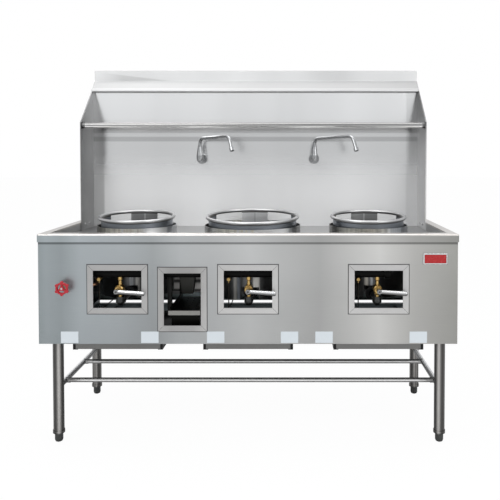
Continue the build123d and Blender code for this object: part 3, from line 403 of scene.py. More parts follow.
# a slanting patch of painted shade on the left of the flange
WEDGE_LEAN = 0.12
WEDGE_Z = (1.5240, 1.5290)
WEDGE_X = (-0.74, -0.40)
WEDGE_SHADE_SHARE = 0.82
# the cap's lowest edge: a painted highlight in front and painted shade below
LIP_Z = (1.5235, 1.5275)
LIP_HIGHLIGHT = grey(0.80)
CAP_UNDER_Z = (1.5225, 1.5235)
CAP_UNDER_SHADE = grey(0.30)

SIDE_X = (-0.5, 0.5)
SIDE_Y = (0.095, 0.30)
SIDE_Z = (0.85, 1.53)
# painted light and shade, from a side's foot to its head; its depth runs from the front edge to the
# back panel
SIDE_LEFT_TONES = greys((0.0, 0.31), (0.3, 0.23), (0.6, 0.205), (1.0, 0.22))
SIDE_LEFT_DEPTH = (0.85, 1.85)
SIDE_RIGHT_TONES = greys((0.0, 0.72), (0.4, 0.59), (0.66, 0.40), (0.8, 0.165), (0.95, 0.10))
SIDE_RIGHT_DEPTH = (0.92, 1.1)

POT_RAIL_Z = reach("pot_rail", "Z")
# painted highlight and shade on the pot rail, from its lower side to its upper side
POT_RAIL_LIGHT_TONES = greys(
    (0.0, 0.85), (0.26, 0.85), (0.34, 0.34), (0.5, 0.34), (0.62, 0.26), (1.0, 0.26), warm=0.01
)


def side_reflections(paint, height, face):
    """The splash sides mirrored in the back panel: masks on the left and on the right."""
    above = paint.larger(paint.math("SUBTRACT", height, BEND_Z), 0.0)
    outward = paint.product(paint.at("X"), -1.0)
    outward = paint.math("MULTIPLY_ADD", above, -BEND_LEAN, outward)
    left = paint.product(paint.rising(outward, LEFT_REFLECTION_X), face)
    left = paint.product(left, paint.spread(height, *DUSK_SHARES, DUSK_Z))
    right = paint.product(paint.rising(paint.at("X"), RIGHT_REFLECTION_X), face)
    return left, right


def back_steel():
    """Splash back: polished above, duller near the deck, with faint upright bands, painted light
    growing upwards and painted reflections.
    """
    paint = Surface("back_steel")
    lines = paint.grain((400, 40, 2))
    bands = paint.noise(1.1, (3.0, 1, 0.15), 2, 0.4)
    height = paint.at("Z")
    face = paint.falling(paint.at("Y"), BACK_FACE_Y)
    tone = paint.ramp(paint.rising(height, BACK_Z), BACK_LIGHT_TONES)
    for span, soft, dimmed in BACK_BANDS:
        mirrored = paint.product(paint.band(height, span, soft), face)
        tone = paint.scaled(tone, paint.share(mirrored, 1.0, dimmed))
    left, right = side_reflections(paint, height, face)
    tone = paint.scaled(tone, paint.share(left, 1.0, 0.0))
    tone = paint.scaled(tone, paint.share(right, 1.0, RIGHT_REFLECTION_SHARE))
    dim = paint.product(paint.spread(lines, 0.99, 1.01), paint.spread(bands, 0.94, 1.05))
    rough = paint.spread(height, *BACK_ROUGH, BACK_ROUGH_Z)
    metal = paint.spread(height, *BACK_METAL, BACK_METAL_Z)
    return paint.finish(paint.scaled(tone, dim), rough, metal, lines, 0.05)


def cap_steel():
    """Splash cap: painted light and shade on a pale flange and a dimmer ledge, with painted
    highlights on the folds and lip and painted shade under the lip.
    """
    paint = Surface("cap_steel")
    lines = paint.grain(LEVEL)
    cloud = paint.noise(2.2, (1.6, 1, 1))
    run = paint.at("X")
    height = paint.at("Z")
    across = paint.rising(run, CAP_X)
    fold_highlights = paint.larger(
        paint.band(height, FOLD_Z, 0.0006), paint.band(height, LEDGE_FOOT_Z, 0.001)
    )
    ledge = paint.ramp(across, LEDGE_LIGHT_TONES)
    ledge = paint.scaled(ledge, paint.share(fold_highlights, 1.0, FOLD_HIGHLIGHT_SHARE))
    lean = paint.math("MULTIPLY_ADD", run, WEDGE_LEAN, height)
    shade_wedge = paint.product(paint.falling(lean, WEDGE_Z), paint.band(run, WEDGE_X, 0.06))
    flange = paint.ramp(across, FLANGE_LIGHT_TONES)
    flange = paint.scaled(flange, paint.share(shade_wedge, 1.0, WEDGE_SHADE_SHARE))
    tone = paint.mixed(paint.rising(height, FLANGE_Z), ledge, flange)
    tone = paint.mixed(paint.rising(height, LIP_Z), LIP_HIGHLIGHT, tone)
    tone = paint.mixed(paint.rising(height, CAP_UNDER_Z), CAP_UNDER_SHADE, tone)
    dim = paint.product(paint.spread(lines, 0.985, 1.015), paint.spread(cloud, 0.95, 1.05))
    rough = paint.spread(cloud, 0.36, 0.44)
    return paint.finish(paint.scaled(tone, dim), rough, 0.6, lines, 0.05)


def side_splash_steel():
    """Splash sides: upright brushing under painted light and shade, darker on the left one and at
    the front edge.
    """
    paint = Surface("splash_side_steel")
    lines = paint.grain((400, 60, 2))
    depth = paint.rising(paint.at("Y"), SIDE_Y)
    rise = paint.rising(paint.at("Z"), SIDE_Z)
    left = paint.scaled(paint.ramp(rise, SIDE_LEFT_TONES), paint.share(depth, *SIDE_LEFT_DEPTH))
    right = paint.scaled(paint.ramp(rise, SIDE_RIGHT_TONES), paint.share(depth, *SIDE_RIGHT_DEPTH))
    tone = paint.mixed(paint.rising(paint.at("X"), SIDE_X), left, right)
    tone = paint.scaled(tone, paint.spread(lines, 0.96, 1.04))
    return paint.finish(tone, 0.42, 0.85, lines, 0.06)


def pot_rail_steel():
    """Pot rail: a brushed tube with a painted highlight on its lower side and painted shade above.
    """
    paint = Surface("pot_rail_steel")
    lines = paint.grain((3, 200, 200))
    tone = paint.ramp(paint.rising(paint.at("Z"), POT_RAIL_Z), POT_RAIL_LIGHT_TONES)
    tone = paint.scaled(tone, paint.spread(lines, 0.96, 1.04))
    return paint.finish(tone, 0.24, 1.0, lines)


# ------------------------------------------------------------ windows and badge
TRIM_X = (-0.66, 0.66)
TRIM_FACE = reach("window_trims", "Y")[0]
TRIM_EDGE_Y = beside(TRIM_FACE, 0.00005, 0.0002)
# painted shade on the trims' sides, behind their face
TRIM_EDGE_SHADE = grey(0.10)
# painted bands of light across the trims, from left to right
TRIM_LIGHT_TONES = greys(
    (0.0, 0.42), (0.2, 0.42), (0.26, 0.33), (0.33, 0.34), (0.4, 0.52), (0.6, 0.55), (1.0, 0.50),
    warm=0.015,
)

BEZEL_WIDTH = 0.006
BEZEL_EDGE = (-0.0004, 0.0004)
# painted highlight along the middle of the bezel and painted shade at its inner and outer border
BEZEL_SHEEN_TONES = greys((0.0, 0.30), (0.2, 0.72), (0.75, 0.72), (0.92, 0.25), (1.0, 0.10))
BADGE_REDS = ((0.30, 0.006, 0.008), (0.36, 0.010, 0.012))


def trim_steel():
    """Window trims: fine grain under painted bands of light, with painted shade on their sides
    behind the face.
    """
    paint = Surface("trim_steel")
    fine = paint.grain(EVEN)
    cloud = paint.noise(5)
    tone = paint.ramp(paint.rising(paint.at("X"), TRIM_X), TRIM_LIGHT_TONES)
    dim = paint.product(paint.spread(fine, 0.96, 1.04), paint.spread(cloud, 0.95, 1.05))
    edge = paint.rising(paint.at("Y"), TRIM_EDGE_Y)
    tone = paint.mixed(edge, paint.scaled(tone, dim), TRIM_EDGE_SHADE)
    return paint.finish(tone, paint.spread(cloud, 0.32, 0.40), 1.0, fine, 0.06)


def badge_plastic():
    """Badge: a plain red field inside a bright bezel, with a painted highlight along the bezel and
    painted shade at its borders.
    """
    paint = Surface("badge_red")
    fine = paint.grain(scale=60)
    over = []
    for letter in "XZ":
        low, high = reach("badge", letter)
        run = paint.math("ABSOLUTE", paint.math("SUBTRACT", paint.at(letter), (low + high) / 2))
        over.append(paint.math("SUBTRACT", run, (high - low) / 2 - BEZEL_WIDTH))
    outside = paint.larger(*over)
    bezel = paint.rising(outside, BEZEL_EDGE)
    chrome = paint.ramp(paint.rising(outside, (0.0, BEZEL_WIDTH)), BEZEL_SHEEN_TONES)
    tone = paint.mixed(bezel, paint.mixed(fine, *BADGE_REDS), chrome)
    return paint.finish(tone, paint.spread(fine, 0.22, 0.30), bezel)


# ------------------------------------------------------------ stand
LEG_HALF = 0.0222
LEG_MIDDLE_Y = (-0.01, 0.01)
LEG_COLLAR_Z = (0.0405, 0.0425)
LEG_COLLAR_SHARE = 0.55
# painted highlights and shade, from the leg's outer side to its inner side
LEG_FRONT_LIGHT_TONES = greys(
    (0.02, 0.072), (0.14, 0.085), (0.24, 0.078), (0.33, 0.050), (0.43, 0.085), (0.52, 0.16),
    (0.63, 0.40), (0.73, 0.40), (0.82, 0.20), (0.90, 0.060), (0.98, 0.07), warm=0.035,
)
LEG_REAR_LIGHT_TONES = greys(
    (0.05, 0.11), (0.2, 0.085), (0.32, 0.24), (0.42, 0.11), (0.57, 0.38), (0.70, 0.15),
    (0.82, 0.07), (0.94, 0.15), warm=0.04,
)
# painted highlights and shade, from a tube's lower side to its upper side
TUBE_Z = reach("side_rails", "Z")
CROSS_RAIL_LIGHT_TONES = greys(
    (0.05, 0.14), (0.25, 0.15), (0.38, 0.33), (0.5, 0.80), (0.6, 0.64), (0.72, 0.22),
    (0.85, 0.15), (0.95, 0.12), warm=0.01,
)
SIDE_RAIL_LIGHT_TONES = greys(
    (0.0, 0.10), (0.2, 0.13), (0.45, 0.18), (0.6, 0.08), (0.84, 0.08), (0.92, 0.5), (1.0, 0.9)
)


def leg_steel():
    """Leg tubes: narrow upright streaks of painted highlight and shade, alike on both sides."""
    paint = Surface("leg_steel")
    lines = paint.grain((120, 120, 3))
    outward = paint.math("ABSOLUTE", paint.at("X"))
    inward = paint.falling(outward, beside(LEG_X, -LEG_HALF, LEG_HALF))
    rear = paint.rising(paint.at("Y"), LEG_MIDDLE_Y)
    tone = paint.mixed(rear, paint.ramp(inward, LEG_FRONT_LIGHT_TONES), paint.ramp(inward, LEG_REAR_LIGHT_TONES))
    tone = paint.scaled(tone, paint.spread(paint.at("Z"), LEG_COLLAR_SHARE, 1.0, LEG_COLLAR_Z))
    tone = paint.scaled(tone, paint.spread(lines, 0.92, 1.08))
    return paint.finish(tone, 0.40, 0.9, lines)


def rail_tube_steel(name, stops):
    """Level tubes: a painted highlight along the middle between painted shade on the sides."""
    paint = Surface(name)
    lines = paint.grain((3, 3, 300))
    tone = paint.ramp(paint.rising(paint.at("Z"), TUBE_Z), stops)
    tone = paint.scaled(tone, paint.spread(lines, 0.95, 1.05))
    return paint.finish(tone, 0.36, 0.9, lines)


# ------------------------------------------------------------ behind the windows
# painted shade on the inside of the rear panel
REAR_SHADE_TONES = (grey(0.05), grey(0.09))
# painted bands of light where the windows look in: their height, and their tones from foot to head
REAR_STRIPE_Z = (0.48, 0.58)
REAR_LIGHT_STRIPES = greys(
    (0.0, 0.3), (0.06, 0.35), (0.10, 0.8), (0.16, 0.8), (0.21, 0.06), (0.29, 0.05), (0.33, 0.6),
    (0.38, 0.9), (0.55, 0.85), (0.62, 0.7), (0.68, 0.10), (0.78, 0.08), (0.84, 0.6), (1.0, 0.7),
    warm=0.04,
)
REAR_DULL_X, REAR_DULL_SHARE = (-0.455, -0.385), 0.85
REAR_BRIGHT_X = (-0.345, -0.262)
REAR_LEDGE_Z = (0.484, 0.498)
REAR_LEDGE_TONE = grey(0.20)
REAR_HEM_Z = (0.483, 0.485)
REAR_HEM_TONE = (0.22, 0.26, 0.26)
REAR_OUTSIDE_Y = (0.3405, 0.3415)
REAR_OUTSIDE_TONE = grey(0.34)

TRAY_FRONT, TRAY_BACK = reach("waste_tray", "Y")
TRAY_TOP = reach("waste_tray", "Z")[1]
TRAY_INSIDE_Y = beside(TRAY_FRONT, 0.0015, 0.0025)
TRAY_INSIDE_Z = beside(TRAY_TOP, -0.0012, -0.0006)
TRAY_FAR_Y = beside(TRAY_BACK, -0.005, -0.003)
TRAY_FRONT_TONE = (0.25, 0.245, 0.23)
# painted shade in the tray's hollow and painted light on its far wall
TRAY_HOLLOW_SHADE = (0.04, 0.046, 0.046)
TRAY_FAR_LIGHT = (0.80, 0.92, 0.94)

NUT_Z = (0.674, 0.676)
PILOT_TUBE_TONE = (0.022, 0.019, 0.015)
PILOT_NUT_TONE = (0.38, 0.26, 0.10)

# painted shade: the chambers' sheet is darkened
CHAMBER_SHADE_TONES = (grey(0.07), grey(0.16))
CHAMBER_FRONT_Y = (-0.12, -0.09)
# painted highlights in streaks on the chambers' fronts: left edge, right edge and tone
CHAMBER_HIGHLIGHTS = (
    (-0.532, -0.516, (0.34, 0.35, 0.36)), (-0.505, -0.487, (0.32, 0.31, 0.29)),
    (-0.072, -0.056, (0.34, 0.33, 0.31)), (-0.056, -0.044, (0.46, 0.50, 0.56)),
    (0.012, 0.041, (0.48, 0.47, 0.44)), (0.499, 0.515, (0.36, 0.34, 0.30)),
    (0.525, 0.535, (0.58, 0.60, 0.62)),
)

# levers at rest: their fall to the right for each metre, and half their thickness
LEVER_FALL = 0.0699
LEVER_HALF = 0.0105
LEVER_HUB_X = (0.0090, 0.0105)
LEVER_HUB_TONE = grey(0.27)
# painted highlight on a lever's upper side and painted shade on its lower side, from below to above
LEVER_LIGHT_TONES = greys(
    (0.0, 0.06), (0.15, 0.14), (0.42, 0.18), (0.52, 0.42), (0.60, 0.78), (0.85, 0.78), (0.97, 0.30)
)


def rear_steel():
    """Rear panel: painted shade inside, with level streaks, painted bands of light where the windows
    look in, and a slate hem at its bottom.
    """
    paint = Surface("rear_steel")
    lines = paint.grain(LEVEL)
    streaks = paint.noise(14, (0.6, 1, 6), 3)
    run = paint.at("X")
    height = paint.at("Z")
    tone = paint.mixed(paint.spread(streaks, 0, 1), *REAR_SHADE_TONES)
    light_stripes = paint.ramp(paint.rising(height, REAR_STRIPE_Z), REAR_LIGHT_STRIPES)
    dull = paint.product(paint.band(run, REAR_DULL_X, 0.006), REAR_DULL_SHARE)
    lit = paint.larger(dull, paint.band(run, REAR_BRIGHT_X, 0.004))
    tone = paint.mixed(lit, tone, light_stripes)
    tone = paint.mixed(paint.band(height, REAR_LEDGE_Z, 0.001), tone, REAR_LEDGE_TONE)
    tone = paint.mixed(paint.falling(height, REAR_HEM_Z), tone, REAR_HEM_TONE)
    outside = paint.rising(paint.at("Y"), REAR_OUTSIDE_Y)
    tone = paint.mixed(outside, tone, REAR_OUTSIDE_TONE)
    tone = paint.scaled(tone, paint.spread(lines, 0.95, 1.05))
    return paint.finish(tone, 0.5, 0.08, lines)


def waste_steel():
    """Waste tray: a pale front and rims, painted shade in the hollow and painted light on the far
    wall.
    """
    paint = Surface("waste_steel")
    lines = paint.grain(LEVEL_COARSE)
    run = paint.at("Y")
    inside = paint.rising(run, TRAY_INSIDE_Y)
    inside = paint.product(inside, paint.falling(paint.at("Z"), TRAY_INSIDE_Z))
    tone = paint.mixed(inside, TRAY_FRONT_TONE, TRAY_HOLLOW_SHADE)
    far = paint.rising(run, TRAY_FAR_Y)
    tone = paint.mixed(far, tone, TRAY_FAR_LIGHT)
    tone = paint.scaled(tone, paint.spread(lines, 0.93, 1.07))
    return paint.finish(tone, 0.36, paint.share(far, 1.0, 0.1), lines)


def pilot_metal():
    """Pilot lines: brass nuts on dark thin tubes."""
    paint = Surface("pilot_metal")
    pebble = paint.grain(scale=160)
    tone = paint.mixed(paint.rising(paint.at("Z"), NUT_Z), PILOT_TUBE_TONE, PILOT_NUT_TONE)
    tone = paint.scaled(tone, paint.spread(pebble, 0.85, 1.15))
    return paint.finish(tone, 0.32, 0.9, pebble)


def local_x(paint):
    """The distance to the nearest burner's middle, left of it negative."""
    return paint.math("WRAP", paint.at("X"), BURNER_PITCH / 2, -BURNER_PITCH / 2)


def chamber_steel():
    """Combustion chambers: sheet darkened as painted shade, with a few painted highlights in upright
    streaks in front.
    """
    paint = Surface("chamber_steel")
    lines = paint.grain(UPRIGHT)
    tone = paint.mixed(paint.noise(5), *CHAMBER_SHADE_TONES)
    front = paint.falling(paint.at("Y"), CHAMBER_FRONT_Y)
    across = paint.at("X")
    for low, high, value in CHAMBER_HIGHLIGHTS:
        tone = paint.mixed(paint.product(front, paint.band(across, (low, high), 0.003)), tone, value)
    tone = paint.scaled(tone, paint.spread(lines, 0.85, 1.15))
    return paint.finish(tone, 0.30, 0.9, lines)


def lever_steel():
    """Levers: a painted highlight on the upper side, painted shade on the lower side, and a duller
    hub.
    """
    paint = Surface("lever_steel")
    lines = paint.grain((2, 200, 200))
    run = local_x(paint)
    rise = paint.math("MULTIPLY_ADD", run, LEVER_FALL, -LEVER_Z)
    rise = paint.math("ADD", paint.at("Z"), rise)
    tone = paint.ramp(paint.rising(rise, (-LEVER_HALF, LEVER_HALF)), LEVER_LIGHT_TONES)
    tone = paint.mixed(paint.falling(run, LEVER_HUB_X), tone, LEVER_HUB_TONE)
    tone = paint.scaled(tone, paint.spread(lines, 0.95, 1.05))
    return paint.finish(tone, 0.24, 1.0, lines)


# ------------------------------------------------------------ collars and rings
COLLAR_HALF = reach("ring_collar_centre", "X")[1]
# painted reflections across each collar, from its left side to its right
COLLAR_REFLECTION_TONES = [
    (0.0, (0.15, 0.15, 0.15)), (0.12, (0.24, 0.24, 0.23)), (0.3, (0.50, 0.49, 0.44)),
    (0.5, (0.82, 0.78, 0.70)), (0.62, (0.75, 0.73, 0.68)), (0.7, (0.90, 0.93, 0.97)),
    (0.8, (0.86, 0.89, 0.93)), (0.88, (0.55, 0.56, 0.58)), (0.95, (0.22, 0.22, 0.22)),
    (1.0, (0.12, 0.12, 0.12)),
]
# painted light: the collars' brightness from the left burner to the right one
COLLAR_LEVEL_X = (-0.72, 0.72)
COLLAR_LIGHT_LEVELS = greys(
    (0.0, 0.80), (0.25, 0.80), (0.34, 1.0), (0.66, 1.0), (0.75, 0.58), (1.0, 0.58)
)

# the rings' height is measured from their lean
RING_LEAN = 0.0559
RING_LIFT = 0.0012
RING_Z = (0.845, 0.925)
# from the skirt to the tube's top: a duller bluish skirt, painted shade in a dark line under the
# tube and a painted highlight on its top
RING_TONES = [
    (0.0, (0.20, 0.21, 0.23)), (0.5, (0.30, 0.32, 0.35)), (0.74, (0.26, 0.28, 0.31)),
    (0.80, (0.12, 0.11, 0.10)), (0.86, (0.28, 0.28, 0.28)), (0.92, (0.42, 0.42, 0.42)),
    (1.0, (0.52, 0.52, 0.52)),
]
RING_REAR_Y = (0.12, 0.13)
RING_PLATE_Z = (0.905, 0.908)
MIDDLE_RING_X = (0.20, 0.24)
SIDE_PLATE_TONE = grey(0.42)
# painted light on the middle ring's rear plate
MIDDLE_PLATE_LIGHT = grey(0.95)
RING_SEAM_X = (-0.003, 0.003)
RING_SEAM_Y = (0.15, 0.16)
RING_SEAM_TONE = grey(0.75)


def collar_steel():
    """Outer collars on the deck: spun sheet with broad upright streaks of painted reflection."""
    paint = Surface("collar_steel")
    lines = paint.grain((30, 30, 400))
    # upright streaks that brighten the painted reflections
    uneven = paint.grain((6, 6, 0.2), 9)
    tone = paint.ramp(paint.rising(local_x(paint), (-COLLAR_HALF, COLLAR_HALF)), COLLAR_REFLECTION_TONES)
    dim = paint.product(paint.spread(lines, 0.97, 1.03), paint.spread(uneven, 1.15, 2.1))
    level = paint.ramp(paint.rising(paint.at("X"), COLLAR_LEVEL_X), COLLAR_LIGHT_LEVELS)
    return paint.finish(paint.tinted(paint.scaled(tone, dim), level), 0.28, 1.0, lines)


def ring_steel():
    """Lift-off rings: a tube with a painted highlight on a duller, bluish skirt, and painted light
    on the middle ring's rear plate.
    """
    paint = Surface("ring_steel")
    lines = paint.grain((30, 30, 200))
    depth = paint.at("Y")
    lean = paint.math("MULTIPLY_ADD", depth, -RING_LEAN, RING_LIFT)
    rise = paint.math("ADD", paint.at("Z"), lean)
    tone = paint.ramp(paint.rising(rise, RING_Z), RING_TONES)
    below_tube = paint.falling(rise, RING_PLATE_Z)
    middle_one = paint.falling(paint.math("ABSOLUTE", paint.at("X")), MIDDLE_RING_X)
    plate = paint.mixed(middle_one, SIDE_PLATE_TONE, MIDDLE_PLATE_LIGHT)
    tone = paint.mixed(paint.product(paint.rising(depth, RING_REAR_Y), below_tube), tone, plate)
    seam_and_trim_shade = paint.band(local_x(paint), RING_SEAM_X, 0.002)
    seam_and_trim_shade = paint.product(seam_and_trim_shade, paint.rising(depth, RING_SEAM_Y))
    tone = paint.mixed(paint.product(seam_and_trim_shade, below_tube), tone, RING_SEAM_TONE)
    tone = paint.scaled(tone, paint.spread(lines, 0.94, 1.06))
    return paint.finish(tone, 0.34, 1.0, lines)


# ------------------------------------------------------------ which piece takes which finish
BY_SLOT = {
    "worktop_steel": worktop_steel(),
    "panel_steel": panel_steel(),
    "splash_steel": back_steel(),
    "frame_steel": steel("frame_steel", (0.030, 0.030, 0.028), 0.45),
    "tube_steel": leg_steel(),
    "trim_steel": trim_steel(),
    "tray_steel": steel("tray_steel", (0.155, 0.154, 0.150), 0.40, (2, 40, 260), 0.12),
    "slate_frame": cast("slate_frame", (0.052, 0.068, 0.072), 0.5, 200, 0.0002, 0.2),
    "rear_steel": rear_steel(),
    # painted shade: this steel is darkened to near black
    "drain_steel": steel("drain_steel", (0.036, 0.036, 0.033), 0.4, UPRIGHT, 0.1),
    "screw_steel": steel("screw_steel", grey(0.40), 0.35, (100, 100, 100)),
    "ring_steel": ring_steel(),
    "collar_steel": collar_steel(),
    "chamber_steel": chamber_steel(),
    "black_pipe": cast(
        "black_pipe", (0.0018, 0.0018, 0.0016), 0.5, 300, 0.0004, metallic=0.0, gloss=0.08
    ),
    "black_bracket": cast(
        "black_bracket", grey(0.008), 0.5, 300, 0.0003, metallic=0.0, gloss=0.15
    ),
    "burner_iron": cast("burner_iron", grey(0.030), 0.55, 420, 0.0008, 0.4),
    "valve_brass": cast("valve_brass", (0.62, 0.42, 0.16), 0.30, 120, 0.0002, 1.0, 0.15),
    "pilot_brass": pilot_metal(),
    "copper_pipe": cast("copper_pipe", (0.45, 0.25, 0.15), 0.34, 60, 0.0002, 1.0, 0.2),
    "lever_chrome": lever_steel(),
    "faucet_chrome": steel("faucet_chrome", (0.36, 0.365, 0.37), 0.25, (40, 40, 40), 0.03),
    "wheel_red": cast("wheel_red", (0.36, 0.006, 0.016), 0.34, 60, 0.0001, 0.0, 0.05),
    "stem_steel": steel("stem_steel", (0.55, 0.55, 0.54), 0.3, (100, 2, 100)),
    "badge_red": badge_plastic(),
    "label_silver": cast("label_silver", (0.55, 0.59, 0.62), 0.5, 200, 0.00005, 0.1, 0.02),
    "rail_steel": pot_rail_steel(),
    # painted shade: the steel feet are darkened to near black
    "foot_steel": steel("foot_steel", (0.07, 0.072, 0.07), 0.38, (60, 60, 200), 0.2),
}
BY_NODE = {
    "splash_sides": side_splash_steel(),
    "splash_cap": cap_steel(),
    "waste_tray": waste_steel(),
    "supply_elbows": cast(
        "elbow_black", (0.010, 0.011, 0.010), 0.34, 300, 0.0004, metallic=0.0, gloss=0.6
    ),
    # painted shade: the drain box's steel is darkened to near black
    "drain_box": steel("box_steel", (0.010, 0.010, 0.009), 0.45, UPRIGHT, 0.1),
    "cross_rails": rail_tube_steel("cross_rail_steel", CROSS_RAIL_LIGHT_TONES),
    "side_rails": rail_tube_steel("side_rail_steel", SIDE_RAIL_LIGHT_TONES),
    "rail_mounts": steel("mount_steel", grey(0.14), 0.3, EVEN),
}
DARK_SCREW = steel("dark_screw", grey(0.09), 0.35, (100, 100, 100))
WELD = cast("weld_bead", (0.20, 0.19, 0.18), 0.35, 300, 0.0004, 0.9)
SLOT_OF = {piece["node"]: piece["material_slot"] for piece in frame["record"]["subparts"]}
for name, node in nodes.items():
    for material_slot in node.material_slots:
        material_slot.material = BY_NODE.get(name, BY_SLOT[SLOT_OF[name]])

# ------------------------------------------------------------ pieces
SHARP_ANGLE = math.radians(35)
HEAD_STEPS = 20
# the head's outline: share of its radius and share of its height
HEAD_OUTLINE = [(1.0, 0.0), (1.0, 0.35), (0.86, 0.72), (0.55, 0.94), (0.3, 1.0)]
RECESS_FLOOR = 0.45
BEAD_SIDES = 8
STEPS_PER_RIPPLE = 3
RIPPLE = 0.22


def make_piece(name, build, material, body="range"):
    """A mesh object built in the shared frame that rides on a body."""
    mesh = bpy.data.meshes.new(name)
    work = bmesh.new()
    build(work)
    work.to_mesh(mesh)
    work.free()
    mesh.shade_smooth()
    mesh.set_sharp_from_angle(angle=SHARP_ANGLE)
    piece = bpy.data.objects.new(name, mesh)
    bpy.context.collection.objects.link(piece)
    mesh.materials.append(material)
    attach(piece, body)
    return piece


def standing(place, facing):
    """The placement that turns Z to the facing direction and moves to the place."""
    turn = Vector((0, 0, 1)).rotation_difference(Vector(facing)).to_matrix().to_4x4()
    return Matrix.Translation(place) @ turn


def screw_head(work, place, facing, radius, height):
    """A domed head with a recess, standing on place and looking along facing."""
    at = standing(place, facing)
    loops = []
    for share, lift in HEAD_OUTLINE:
        loop = []
        for step in range(HEAD_STEPS):
            angle = math.tau * step / HEAD_STEPS
            point = Vector((math.cos(angle), math.sin(angle), 0)) * radius * share
            point.z = height * lift
            loop.append(work.verts.new(at @ point))
        loops.append(loop)
    for low, high in zip(loops, loops[1:]):
        for step in range(HEAD_STEPS):
            after = (step + 1) % HEAD_STEPS
            work.faces.new((low[step], low[after], high[after], high[step]))
    pit = work.verts.new(at @ Vector((0, 0, height * RECESS_FLOOR)))
    top = loops[-1]
    for step in range(HEAD_STEPS):
        work.faces.new((top[step], top[(step + 1) % HEAD_STEPS], pit))


def ring_bead(work, place, facing, radius, thickness, waves):
    """A weld bead: a ring of small ripples round a tube, looking along facing."""
    at = standing(place, facing)
    steps = waves * STEPS_PER_RIPPLE
    loops = []
    for step in range(steps):
        angle = math.tau * step / steps
        bulge = thickness * (1.0 + RIPPLE * math.cos(angle * waves))
        loop = []
        for side in range(BEAD_SIDES):
            lean = math.tau * side / BEAD_SIDES
            out = radius + bulge * math.cos(lean)
            point = Vector((out * math.cos(angle), out * math.sin(angle), bulge * math.sin(lean)))
            loop.append(work.verts.new(at @ point))
        loops.append(loop)
    for step, loop in enumerate(loops):
        after = loops[(step + 1) % steps]
        for side in range(BEAD_SIDES):
            turned = (side + 1) % BEAD_SIDES
            work.faces.new((loop[side], after[side], after[turned], loop[turned]))


LEVER_FACE = -0.3603            # the front of a lever's hub
LEVER_SCREW_RADIUS, LEVER_SCREW_HEIGHT = 0.0045, 0.0022
BEAD_THICKNESS = 0.0016
RAIL_BEAD_RADIUS, RAIL_BEAD_WAVES = 0.0114, 22
RAIL_END = 0.0205               # from the leg's middle to the bead
PLATE_BEAD_RADIUS, PLATE_BEAD_WAVES = 0.0226, 40
PLATE_BEAD_DROP = 0.0042        # from the plate's upper side to the bead


def lever_screw(x):
    """The screw in a lever's hub, which looks to the front."""

    def build(work):
        place = (x, LEVER_FACE, LEVER_Z)
        screw_head(work, place, (0, -1, 0), LEVER_SCREW_RADIUS, LEVER_SCREW_HEIGHT)

    return build


def rail_beads(work):
    """Beads where the side rails meet the legs."""
    for x in (-LEG_X, LEG_X):
        for y in (LEG_FRONT_Y + RAIL_END, LEG_REAR_Y - RAIL_END):
            place = (x, y, RAIL_Z)
            ring_bead(work, place, (0, 1, 0), RAIL_BEAD_RADIUS, BEAD_THICKNESS, RAIL_BEAD_WAVES)


def plate_beads(work):
    """Beads where the legs meet their top plates."""
    for x in (-LEG_X, LEG_X):
        for y in (LEG_FRONT_Y, LEG_REAR_Y):
            place = (x, y, LEG_TOP - PLATE_BEAD_DROP)
            ring_bead(work, place, (0, 0, 1), PLATE_BEAD_RADIUS, BEAD_THICKNESS, PLATE_BEAD_WAVES)


for station, x in BURNER_X.items():
    make_piece(f"lever_screw_{station}", lever_screw(x), DARK_SCREW, f"lever_{station}")
make_piece("rail_beads", rail_beads, WELD)
make_piece("plate_beads", plate_beads, WELD)

# ------------------------------------------------------------ studio
SKY_COLOUR = (0.97, 0.985, 1.0)
SKY_HEIGHT = (-0.25, 0.45)
SKY_STRENGTH = (0.58, 0.95)
FLOOR_SIZE = 60
FLOOR_DROP = -0.0005
FLOOR_TONES = (grey(0.80), grey(0.83))
FLOOR_GLOW = 0.965
WHITE = (1.0, 1.0, 1.0)
# lamps: place, aim, size and power
LAMPS = {
    "key": ((-1.6, -2.6, 3.2), (0, 0, 0.8), (2.6, 1.4), 45),
    "fill": ((2.4, -2.4, 2.2), (0, 0, 0.8), (1.6, 1.6), 26),
    "top": ((0, 0.1, 3.6), (0, 0.05, 0.8), (3.0, 1.6), 42),
}
# the photograph's width, its focal length and the point its camera looks at, in pixels
PHOTO_SIZE = 500
PHOTO_FOCAL = 640
PHOTO_AIM = (287.6, 171.6)
CAMERA_SENSOR = 36              # millimetres
CAMERA_PLACE = (0.162, -2.9397, 1.2081)
CAMERA_TILT = 1.6               # degrees below level


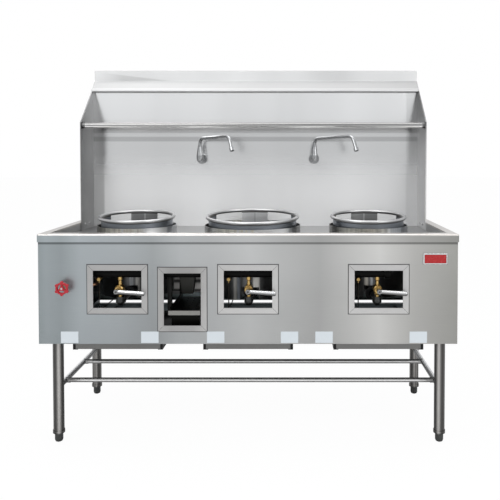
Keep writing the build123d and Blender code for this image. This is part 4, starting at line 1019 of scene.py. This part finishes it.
def make_world(scene):
    """Soft light that grows with height, and white where the camera sees past the object."""
    world = bpy.data.worlds.new("studio")
    scene.world = world
    world.use_nodes = True
    sky = Nodes(world.node_tree)
    sky.tree.nodes.clear()
    out = sky.add("ShaderNodeOutputWorld")
    path = sky.add("ShaderNodeLightPath")
    soft = sky.add("ShaderNodeBackground")
    sky.put(soft.inputs["Color"], SKY_COLOUR)
    height = sky.at("Z", "Generated")
    sky.put(soft.inputs["Strength"], sky.spread(height, *SKY_STRENGTH, SKY_HEIGHT))
    white = sky.add("ShaderNodeBackground")
    sky.put(white.inputs["Color"], WHITE)
    seen = sky.blended(path.outputs["Is Camera Ray"], soft.outputs[0], white.outputs[0])
    sky.put(out.inputs["Surface"], seen)


def make_floor():
    """A pale floor that the camera sees as nearly white."""
    bpy.ops.mesh.primitive_plane_add(size=FLOOR_SIZE, location=(0, 0, FLOOR_DROP))
    floor = bpy.context.object
    floor.name = "floor"
    paint = Surface("floor_white")
    tone = paint.mixed(paint.noise(40), *FLOOR_TONES)
    floor.data.materials.append(paint.finish(tone, 0.9, 0.0))
    glow = paint.add("ShaderNodeEmission")
    path = paint.add("ShaderNodeLightPath")
    part = paint.product(path.outputs["Is Camera Ray"], FLOOR_GLOW)
    seen = paint.blended(part, paint.shader.outputs[0], glow.outputs[0])
    paint.put(paint.tree.nodes["Material Output"].inputs["Surface"], seen)


def make_lamp(name, place, aim, size, watts):
    """A soft lamp that looks from its place at its aim."""
    data = bpy.data.lights.new(name, "AREA")
    data.shape = "RECTANGLE"
    data.size, data.size_y = size
    data.energy = watts
    lamp = bpy.data.objects.new(name, data)
    lamp.location = place
    lamp.rotation_euler = (Vector(aim) - Vector(place)).to_track_quat("-Z", "Y").to_euler()
    bpy.context.collection.objects.link(lamp)


def make_camera(scene):
    """The photograph's camera."""
    data = bpy.data.cameras.new("camera")
    data.sensor_width = CAMERA_SENSOR
    data.lens = PHOTO_FOCAL / PHOTO_SIZE * CAMERA_SENSOR
    data.shift_x = (PHOTO_SIZE / 2 - PHOTO_AIM[0]) / PHOTO_SIZE
    data.shift_y = (PHOTO_AIM[1] - PHOTO_SIZE / 2) / PHOTO_SIZE
    camera = bpy.data.objects.new("camera", data)
    camera.location = CAMERA_PLACE
    camera.rotation_euler = (math.radians(90 - CAMERA_TILT), 0, 0)
    bpy.context.collection.objects.link(camera)
    scene.camera = camera


scene = bpy.context.scene
scene.view_settings.view_transform = "Standard"
make_world(scene)
make_floor()
for name, settings in LAMPS.items():
    make_lamp(name, *settings)
make_camera(scene)
